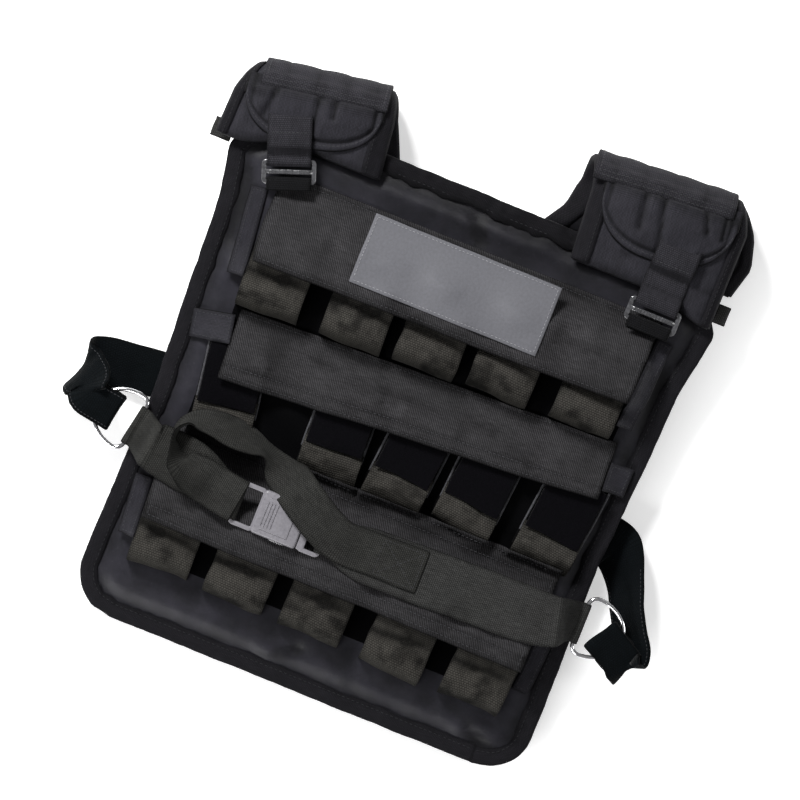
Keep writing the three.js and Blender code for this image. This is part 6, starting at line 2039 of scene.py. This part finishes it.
@dataclass
class PouchRows:
    """Three rows of five pouches."""

    top: tuple[tuple[float, float], ...] = ((-0.337, -0.343), (-0.155, -0.16), (0.004, 0.004), (0.163, 0.165),
                                            (0.346, 0.35))
    middle: tuple[tuple[float, float], ...] = ((-0.336, -0.366), (-0.1, -0.112), (0.044, 0.063), (0.198, 0.217),
                                               (0.376, 0.398))
    bottom: tuple[tuple[float, float, float], ...] = ((-0.35, -0.352, 0.12), (-0.181, -0.178, 0.115),
                                                      (-0.011, -0.008, 0.111), (0.171, 0.178, 0.103),
                                                      (0.348, 0.358, 0.105))
    skirts: tuple[tuple[float, float], ...] = ((6.0, 3.0), (-9.0, 4.5), (8.0, 5.0), (-6.0, 4.0), (5.0, 4.5))
    length: float = 88.0
    empty_length: float = 90.0
    depth: float = 24.0
    empty_depth: float = 9.0
    seam: float = 4.0

    def seat(self, left: tuple[float, float], right: tuple[float, float], x: float) -> float:
        """Height in the front plane where a row starts, above the flap below it."""
        return float(np.interp(x, [left[0] * LAYOUT.width, right[0] * LAYOUT.width],
                               [left[1] * LAYOUT.height, right[1] * LAYOUT.height])) + self.seam

    def build(self, wardrobe: Wardrobe, relief: Relief) -> None:
        """Builds all the pouches and the grip facings."""
        for i, (low, high, start) in enumerate(self.bottom):
            x = low * LAYOUT.width
            Pouch(f"pouch_bottom_{i + 1}", (x, start * LAYOUT.height), self.length,
                  (high - low) * LAYOUT.width, self.depth, 50 + i).build(wardrobe, relief)
        for i, (low, high) in enumerate(self.top):
            x = low * LAYOUT.width
            start = self.seat((-0.385, 0.632), (0.434, 0.662), x)
            Pouch(f"pouch_top_{i + 1}", (x, start), self.length, (high - low) * LAYOUT.width, self.depth,
                  70 + i).build(wardrobe, relief)
        for i, (low, high) in enumerate(self.middle):
            x = low * LAYOUT.width
            start = self.seat((-0.42, 0.4), (0.425, 0.402), x)
            skew, lift = self.skirts[i]
            pouch = EmptyPouch(f"pouch_middle_{i + 1}", (x, start), self.empty_length,
                               (high - low) * LAYOUT.width, self.empty_depth, 90 + i, skirt_skew=skew,
                               skirt_lift=lift, grip_name=f"grip_patch_{i + 1}")
            pouch.build(wardrobe, relief)
            pouch.build_grip(wardrobe, relief)


@dataclass
class Cover:
    """Flaps over the pouches, the bare label, and the bands and tabs at the sides."""

    label_width: float = 174.0
    label_height: float = 63.0
    band_width: float = 15.0
    tab_width: float = 25.0

    def build(self, wardrobe: Wardrobe, relief: Relief) -> None:
        """Builds the flaps from the hem upwards, then what is sewn on them and beside them."""
        rows = [f"pouch_{{}}_{i + 1}" for i in range(5)]
        Flap("lower_flap", quad_of((-0.415, 0.205), (0.42, 0.203), (-0.42, 0.4), (0.425, 0.402)), 2.2, 0.93,
             (0.04, 0.13, 0.86, 0.96), [name.format("bottom") for name in rows], 201).build(wardrobe, relief)
        Flap("middle_flap", quad_of((-0.376, 0.498), (0.436, 0.553), (-0.385, 0.632), (0.434, 0.662)), 2.2, 0.9,
             (0.05, 0.2, 0.95), [name.format("middle") for name in rows], 202).build(wardrobe, relief)
        Flap("chest_flap", quad_of((-0.4, 0.727), (0.418, 0.739), (-0.413, 0.9), (0.422, 0.904)), 2.2, 0.93,
             (0.04, 0.95), [name.format("top") for name in rows], 203).build(wardrobe, relief)
        x, y = 0.003 * LAYOUT.width, 0.826 * LAYOUT.height
        half, tall = self.label_width / 2, self.label_height / 2
        Patch("label_patch", Quad((x - half, y - tall), (x + half, y - tall), (x - half, y + tall),
                                  (x + half, y + tall)), 1.0, Wardrobe.LABEL, border=2.4, frayed=0.2,
              rounds=260, slack=0.002).build(wardrobe, relief)
        scale = np.array([LAYOUT.width, LAYOUT.height])
        bands = {"chest_band_left": ((-0.426, 0.69), (-0.446, 0.857)), "chest_band_right": ((0.434, 0.694),
                 (0.447, 0.872)), "hip_band_left": ((-0.436, 0.16), (-0.446, 0.272)),
                 "hip_band_right": ((0.442, 0.16), (0.449, 0.262))}
        for name, (low, high) in bands.items():
            quad = Quad.along(tuple(np.array(low) * scale), tuple(np.array(high) * scale), self.band_width)
            Patch(name, quad, 1.5, Wardrobe.YOKE, seed=len(name)).build(wardrobe, relief)
        tabs = {"side_tab_left": ((-0.473, 0.575), (-0.389, 0.591)), "side_tab_right": ((0.487, 0.599),
                                                                                      (0.439, 0.599))}
        for name, (outer, inner) in tabs.items():
            quad = Quad.along(tuple(np.array(outer) * scale), tuple(np.array(inner) * scale), self.tab_width)
            Patch(name, quad, 1.5, Wardrobe.YOKE, crossed=False, seed=9).build(wardrobe, relief)


@dataclass
class Waist:
    """Waist belt: rings, two belt halves, buckle and the loose loop of strap."""

    belt_width: float = 50.0
    strap_width: float = 38.0
    webbing: float = 1.5
    ring_height: float = 14.1
    ring_wire: float = 3.8
    left_bar: tuple[float, float] = (-0.502 * 426, 0.354 * 468)
    right_bar: tuple[float, float] = (0.505 * 426, 0.322 * 468)
    left_turn: float = 169.0
    right_turn: float = 0.0
    buckle: Buckle = field(default_factory=Buckle)
    tail_top: float = 83.0
    tail_run: tuple[tuple[float, float, float], ...] = (
        (-103, 141, 0), (-123, 144, 0), (-140, 147, 8), (-154, 150, 28), (-165, 155, 54), (-172, 164, 76),
        (-176, 175, 92), (-172, 187, 106), (-161, 194, 122), (-146, 196, 132), (-129, 194.5, 137), (-112, 193, 128),
        (-97, 190, 112), (-86, 185, 126), (-75, 178, 156), (-60, 169.5, 176), (-44, 160, 180), (-27, 150, 180),
        (-10, 143, 184), (4, 141.5, 182), (20, 142, 180), (44, 142.5, 180), (68, 143, 180),
    )

    @staticmethod
    def plan(rows: Sequence[Sequence[float]]) -> list[list[float]]:
        """Turns shares of the panel into millimetres in rows of x, y, width and lift."""
        return [[x * LAYOUT.width, y * LAYOUT.height, width, lift] for x, y, width, lift in rows]

    def ring_fold(self, bar: tuple[float, float], turn_deg: float) -> Array:
        """Stations of a belt half folded round its ring, from below to above."""
        turn = math.radians(turn_deg)
        outward = np.array([math.cos(turn), math.sin(turn), 0.0])
        across = np.array([-math.sin(turn), math.cos(turn), 0.0])
        radius = self.ring_wire / 2 + 0.4 + self.webbing / 2
        fold = fold_round(np.array([*bar, self.ring_height]), -outward, np.array([0.0, 0.0, 1.0]), across,
                          radius, (6.0, 0.0, 5.0), 36.0)
        return fold[::-1]

    def build_belts(self, wardrobe: Wardrobe, relief: Relief) -> None:
        """Builds both rings, the two belt halves and the buckle."""
        Ring("ring_left", (*self.left_bar, self.ring_height), self.left_turn, Wardrobe.STEEL).build(wardrobe)
        Ring("ring_right", (*self.right_bar, self.ring_height), self.right_turn, Wardrobe.STEEL).build(wardrobe)
        buckle = self.buckle
        reach = math.hypot(4.0, 3.2) / 2
        fold = reach + 0.4 + self.webbing / 2
        frame_bar = buckle.centre[0] - buckle.length / 2 - buckle.frame_slot - buckle.bar / 2
        latch_bar = buckle.centre[0] + buckle.length / 2 + buckle.gap + buckle.latch - buckle.bar / 2
        flat = np.array([0.0, 1.0, 0.0])
        up = np.array([0.0, 0.0, 1.0])
        left = lay_strap(self.plan(((-0.455, 0.337, 0.8, 4), (-0.428, 0.334, 0.9, 0), (-0.36, 0.325, 0.94, 0),
                                    (-0.3, 0.31, 0.75, 0), (-0.275, 0.303, 0.62, 0))), relief, self.belt_width,
                         self.webbing)
        left[-1, 2] = buckle.bar_height - fold
        left_end = fold_round(np.array([frame_bar, buckle.centre[1], buckle.bar_height]), np.array([-1.0, 0, 0]),
                              -up, flat, fold, (7.0, 0.0, 7.0), 30.0)
        stations = np.concatenate([self.ring_fold(self.left_bar, self.left_turn), left, left_end])
        Strap("belt_left", stations, self.webbing, LAYOUT.from_front, Wardrobe.TAIL).build(wardrobe, relief)
        right = lay_strap(self.plan(((0.46, 0.316, 0.86, 4), (0.43, 0.31, 0.94, 0), (0.38, 0.306, 1, 0),
                                     (0.29, 0.303, 1, 0), (0.2, 0.3, 1, 0), (0.11, 0.298, 1, 0),
                                     (0.03, 0.297, 0.94, 0), (-0.03, 0.299, 0.64, 0))), relief, self.belt_width,
                          self.webbing)
        right[-1, 2] = buckle.bar_height + fold
        right_end = fold_round(np.array([latch_bar, buckle.centre[1], buckle.bar_height]), np.array([1.0, 0, 0]),
                               up, flat, fold, (7.0, 0.0, 7.0), 30.0)
        stations = np.concatenate([self.ring_fold(self.right_bar, self.right_turn), right, right_end])
        Strap("belt_right", stations, self.webbing, LAYOUT.from_front, Wardrobe.WEBBING).build(wardrobe, relief)
        buckle.build_body(wardrobe)
        buckle.build_latch(wardrobe)
        low, high = buckle.centre[1] - buckle.width / 2, buckle.centre[1] + buckle.width / 2
        start = buckle.centre[0] - buckle.length / 2
        x, y = np.meshgrid(np.linspace(start, start + buckle.length, 40), np.linspace(low, high, 40), indexing="ij")
        relief.cover(np.stack([x, y, x * 0 + buckle.floor + buckle.thickness * 0.9 + 1.2], -1))
        x, y = np.meshgrid(np.linspace(start + buckle.length, latch_bar + 6, 30), np.linspace(low, high, 40),
                           indexing="ij")
        relief.cover(np.stack([x, y, x * 0 + buckle.bar_height + fold + 0.8], -1))

    def tail_stations(self, relief: Relief) -> Array:
        """Stations of the loose strap, which rolls over as it runs out, round and back."""
        rows = resample(np.array([[x, y, 0.0, roll] for x, y, roll in self.tail_run]), 84)
        heading = np.gradient(rows[:, :2], axis=0)
        heading /= np.linalg.norm(heading, axis=1, keepdims=True)
        roll = np.radians(rows[:, 3])
        side = np.stack([-heading[:, 1] * np.cos(roll), heading[:, 0] * np.cos(roll), np.sin(roll)], 1)
        width = self.strap_width * (1 - 0.3 * np.sin(roll) ** 2)
        height = np.empty(len(rows))
        for i, row in enumerate(rows):
            reach = np.linspace(-0.5, 0.5, 21) * width[i]
            x, y = row[0] + side[i, 0] * reach, row[1] + side[i, 1] * reach
            height[i] = (relief.at(x, y) + 1.3 - side[i, 2] * reach).max()
        level = height.copy()
        for _ in range(14):
            level = (np.concatenate([level[:1], level[:-1]]) + 2 * level + np.concatenate([level[1:], level[-1:]])) / 4
        level = level + max(0.0, float(np.percentile(height - level, 70)))
        roof = self.tail_top - LAYOUT.lift - rows[:, 1] * math.tan(math.radians(LAYOUT.tilt_deg))
        level = np.minimum(level, roof - width / 2 * np.abs(np.sin(roll)))
        return np.concatenate([rows[:, :2], level[:, None], side, width[:, None]], axis=1)

    def build_tail(self, wardrobe: Wardrobe, relief: Relief) -> None:
        """Builds the loose strap: out from the buckle, round on its edge, back and down to its crossed seam."""
        stations = self.tail_stations(relief)
        strap = Strap("tail_strap", stations, self.webbing, LAYOUT.from_front, Wardrobe.TAIL, step=1.8, wave=0.3,
                      edge_wave=0.5, outer_side=-1.0)
        total = np.linalg.norm(np.diff(stations[:, :3], axis=0), axis=1).sum()
        first, last = 1 - 40.0 / total, 1 - 2.5 / total
        box = [(first, 0.08), (last, 0.08), (last, 0.92), (first, 0.92), (first, 0.08)]
        crossed = [box, [(first, 0.08), (last, 0.92)], [(last, 0.08), (first, 0.92)]]
        strap.build(wardrobe, relief, stitches=crossed)

    def build(self, wardrobe: Wardrobe, relief: Relief) -> None:
        """Builds the whole belt."""
        self.build_belts(wardrobe, relief)
        self.build_tail(wardrobe, relief)


@dataclass
class SideStrap:
    """Strap from the back panel that loops out and hooks through a ring. Millimetres, over the ground."""

    key: str
    bar: tuple[float, float]
    turn_deg: float
    hook_at_deg: float
    rows: tuple[tuple[float, float, Optional[float], float, float, float], ...]
    width: float = 46.0
    thickness: float = 2.2
    hook_width: float = 34.0
    ring_reach: float = 39.2
    ring_half: float = 26.1
    ring_corner: float = 8.0
    ring_height: float = 14.1

    def build(self, wardrobe: Wardrobe) -> bpy.types.Object:
        """Builds the strap through its rows of plan place, rise, heading, width and tip."""
        turn = math.radians(self.turn_deg)
        tilt = math.radians(LAYOUT.tilt_deg)
        outward = np.array([math.cos(turn), math.sin(turn), 0.0])
        across = np.array([-math.sin(turn), math.cos(turn), 0.0])
        into = lambda d: np.array([d[0], d[1] * math.cos(tilt) - d[2] * math.sin(tilt),
                                   d[1] * math.sin(tilt) + d[2] * math.cos(tilt)])
        place = math.radians(self.hook_at_deg)
        apex = (np.array([*self.bar, self.ring_height]) + across * self.ring_half * math.sin(place)
                + outward * (self.ring_corner + (self.ring_reach - self.ring_corner) * math.cos(place)))
        lean = math.atan2(math.sin(place) / self.ring_half, math.cos(place) / (self.ring_reach - self.ring_corner))
        outward, across = (outward * math.cos(lean) + across * math.sin(lean),
                           across * math.cos(lean) - outward * math.sin(lean))
        bar = LAYOUT.from_front(apex) / MM - np.array([LAYOUT.shift_x, LAYOUT.shift_y, 0.0])
        rows = []
        for x, y, rise, heading_deg, width, tip_deg in self.rows:
            heading, tip = math.radians(heading_deg), math.radians(tip_deg)
            z = LAYOUT.back_thickness + 0.4 + self.thickness / 2 if rise is None else rise * bar[2]
            rows.append([x * LAYOUT.width, y * LAYOUT.height, z, math.cos(tip) * math.cos(heading),
                         math.cos(tip) * math.sin(heading), math.sin(tip), self.width * width])
        radius = 1.9 + 0.4 + self.thickness / 2
        hook = fold_round(bar, into(outward), into(np.array([0.0, 0.0, 1.0])), into(across), radius,
                          (9.0, 16.0, 7.0), self.hook_width)
        stations = np.concatenate([np.array(rows), hook])
        strap = Strap(f"side_strap_{self.key}", stations, self.thickness, LAYOUT.from_ground, Wardrobe.SIDE,
                      wave=0.7, edge_wave=0.8, cup=0.8, across_count=23, seed=61, ground=0.4)
        return strap.build(wardrobe, stitches=[[(0.3, 0.06), (0.97, 0.06)], [(0.3, 0.94), (0.97, 0.94)]])


SIDE_STRAPS = (
    SideStrap("left", (-0.502 * 426, 0.354 * 468), 169.0, 0.0, (
        (-0.4, 0.457, None, 90, 0.86, 0), (-0.48, 0.457, None, 90, 0.86, 0), (-0.53, 0.452, 0.34, 92, 0.9, 0),
        (-0.6, 0.442, 0.2, 88, 0.95, 0), (-0.632, 0.43, 0.22, 82, 1.0, 0), (-0.652, 0.418, 0.45, 76, 1.02, 0),
        (-0.642, 0.405, 0.78, 70, 1.02, 0), (-0.624, 0.393, 0.98, 70, 0.95, 0))),
    SideStrap("right", (0.505 * 426, 0.322 * 468), 0.0, -26.0, (
        (0.41, 0.485, None, 90, 0.98, 0), (0.503, 0.481, None, 88, 0.98, 0), (0.535, 0.462, 0.46, 62, 0.98, 22),
        (0.566, 0.416, 0.55, 38, 0.95, 45), (0.588, 0.372, 0.62, 34, 0.92, 50), (0.61, 0.332, 0.72, 38, 0.9, 45),
        (0.628, 0.298, 0.86, 48, 0.86, 28), (0.629, 0.272, 1.02, 57, 0.8, 8))),
)


def shift_lines(lines: Sequence[Sequence[Sequence[float]]]) -> tuple:
    """Moves lines from the sketch grid of the front to the ground frame."""
    return tuple(tuple((u + 8.0, v + 3.0) for u, v in line) for line in lines)


YOKES = (
    Yoke("left", -1, (-0.399 * 426, 1.103 * 468), 9.0, 20.0, 0.949 * 468, 0.36 * 122,
         ((0, 69.9, 74.1), (0.5, 63.0, 63.9), (1, 58.8, 58.8), (2, 76.0, 62.6), (3, 84.0, 60.9)),
         shift_lines((((-214, 480), (-218, 456)), ((-178, 500), (-172, 452)), ((-164, 499), (-160, 475)))),
         (42, 40, 38, 35, 32, 28, 24, 20, 16, 12), 19.6),
    Yoke("right", 1, (0.326 * 426, 1.166 * 468), 4.0, 0.0, 0.949 * 468, 0.434 * 122,
         ((0, 85.2, 90.7), (0.22, 95.0, 75.0), (0.5, 87.3, 68.2), (1, 66.9, 66.9), (2, 78.0, 58.8), (3, 72.0, 57.9)),
         shift_lines((((118, 520), (122, 487)), ((134, 520), (146, 472)), ((171, 524), (179, 505)),
                      ((191, 524), (194, 503)))),
         (62, 56, 50, 44, 39, 34, 29, 24, 20, 16, 12), 12.8),
)


@dataclass
class Studio:
    """Plain pale floor, soft lights and the camera straight above the vest."""

    middle: tuple[float, float] = (-5.99, 272.62)
    distance: float = 3.0
    view_width: float = 0.704
    plane: float = 0.035
    turn_deg: float = 22.0
    floor_half: float = 6.0

    def build(self) -> None:
        """Builds the camera, the lights and the floor."""
        scene = bpy.context.scene
        camera = bpy.data.objects.new("camera", bpy.data.cameras.new("camera"))
        scene.collection.objects.link(camera)
        place = LAYOUT.from_ground(np.array([*self.middle, 0.0]))
        camera.location = (place[0], place[1], self.distance)
        camera.rotation_euler = (0, 0, math.radians(self.turn_deg))
        camera.data.sensor_width = 36.0
        camera.data.lens = 36.0 * (self.distance - self.plane) / self.view_width
        camera.data.clip_end = 50
        scene.camera = camera
        world = bpy.data.worlds.new("studio")
        world.use_nodes = True
        world.node_tree.nodes["Background"].inputs["Color"].default_value = (1, 1, 1, 1)
        world.node_tree.nodes["Background"].inputs["Strength"].default_value = 0.24
        scene.world = world
        scene.view_settings.view_transform = "Standard"
        self.lamp("key", (-1.2, 1.2, 1.5), (0.6, 0.5), 72.0)
        self.lamp("low", (-0.7, -1.8, 1.2), (1.6, 0.5), 36.0)
        self.lamp("rim", (2.2, 0.6, 1.2), (0.7, 1.4), 16.0)
        self.floor()
        log.info("studio ready")

    def lamp(self, name: str, place: tuple[float, float, float], size: tuple[float, float], power: float) -> None:
        """Adds a soft lamp that faces the vest."""
        light = bpy.data.lights.new(name, "AREA")
        light.shape = "RECTANGLE"
        light.size, light.size_y = size
        light.energy = power
        lamp = bpy.data.objects.new(name, light)
        bpy.context.scene.collection.objects.link(lamp)
        lamp.location = place
        lamp.rotation_euler = (Vector((0, 0, 0.03)) - Vector(place)).to_track_quat("-Z", "Y").to_euler()

    def floor(self) -> None:
        """Adds the pale floor."""
        mesh = bpy.data.meshes.new("floor")
        half = self.floor_half
        mesh.from_pydata([(-half, -half, 0), (half, -half, 0), (half, half, 0), (-half, half, 0)], [], [(0, 1, 2, 3)])
        graph = Graph("studio_floor")
        coordinates = graph.tree.nodes.new("ShaderNodeTexCoord")
        grain = graph.noise(coordinates.outputs["Object"], 3.0)
        graph.join(graph.mix_colour(grain, (0.9, 0.9, 0.9, 1), (0.94, 0.94, 0.94, 1)),
                   graph.shader.inputs["Base Color"])
        graph.shader.inputs["Roughness"].default_value = 0.9
        graph.shader.inputs["Emission Color"].default_value = (1, 1, 1, 1)
        graph.shader.inputs["Emission Strength"].default_value = 0.45
        mesh.materials.append(graph.material)
        floor = bpy.data.objects.new("floor", mesh)
        bpy.context.scene.collection.objects.link(floor)


def main() -> None:
    """Builds the studio and the vest from the ground up."""
    logging.basicConfig(level=logging.INFO, format="%(message)s")
    Studio().build()
    wardrobe, relief = Wardrobe(), Relief()
    Body().build(wardrobe, relief)
    PouchRows().build(wardrobe, relief)
    Cover().build(wardrobe, relief)
    Waist().build(wardrobe, relief)
    for strap in SIDE_STRAPS:
        strap.build(wardrobe)
    for yoke in YOKES:
        yoke.build(wardrobe)
    log.info("vest complete")


if __name__ == "__main__":
    main()
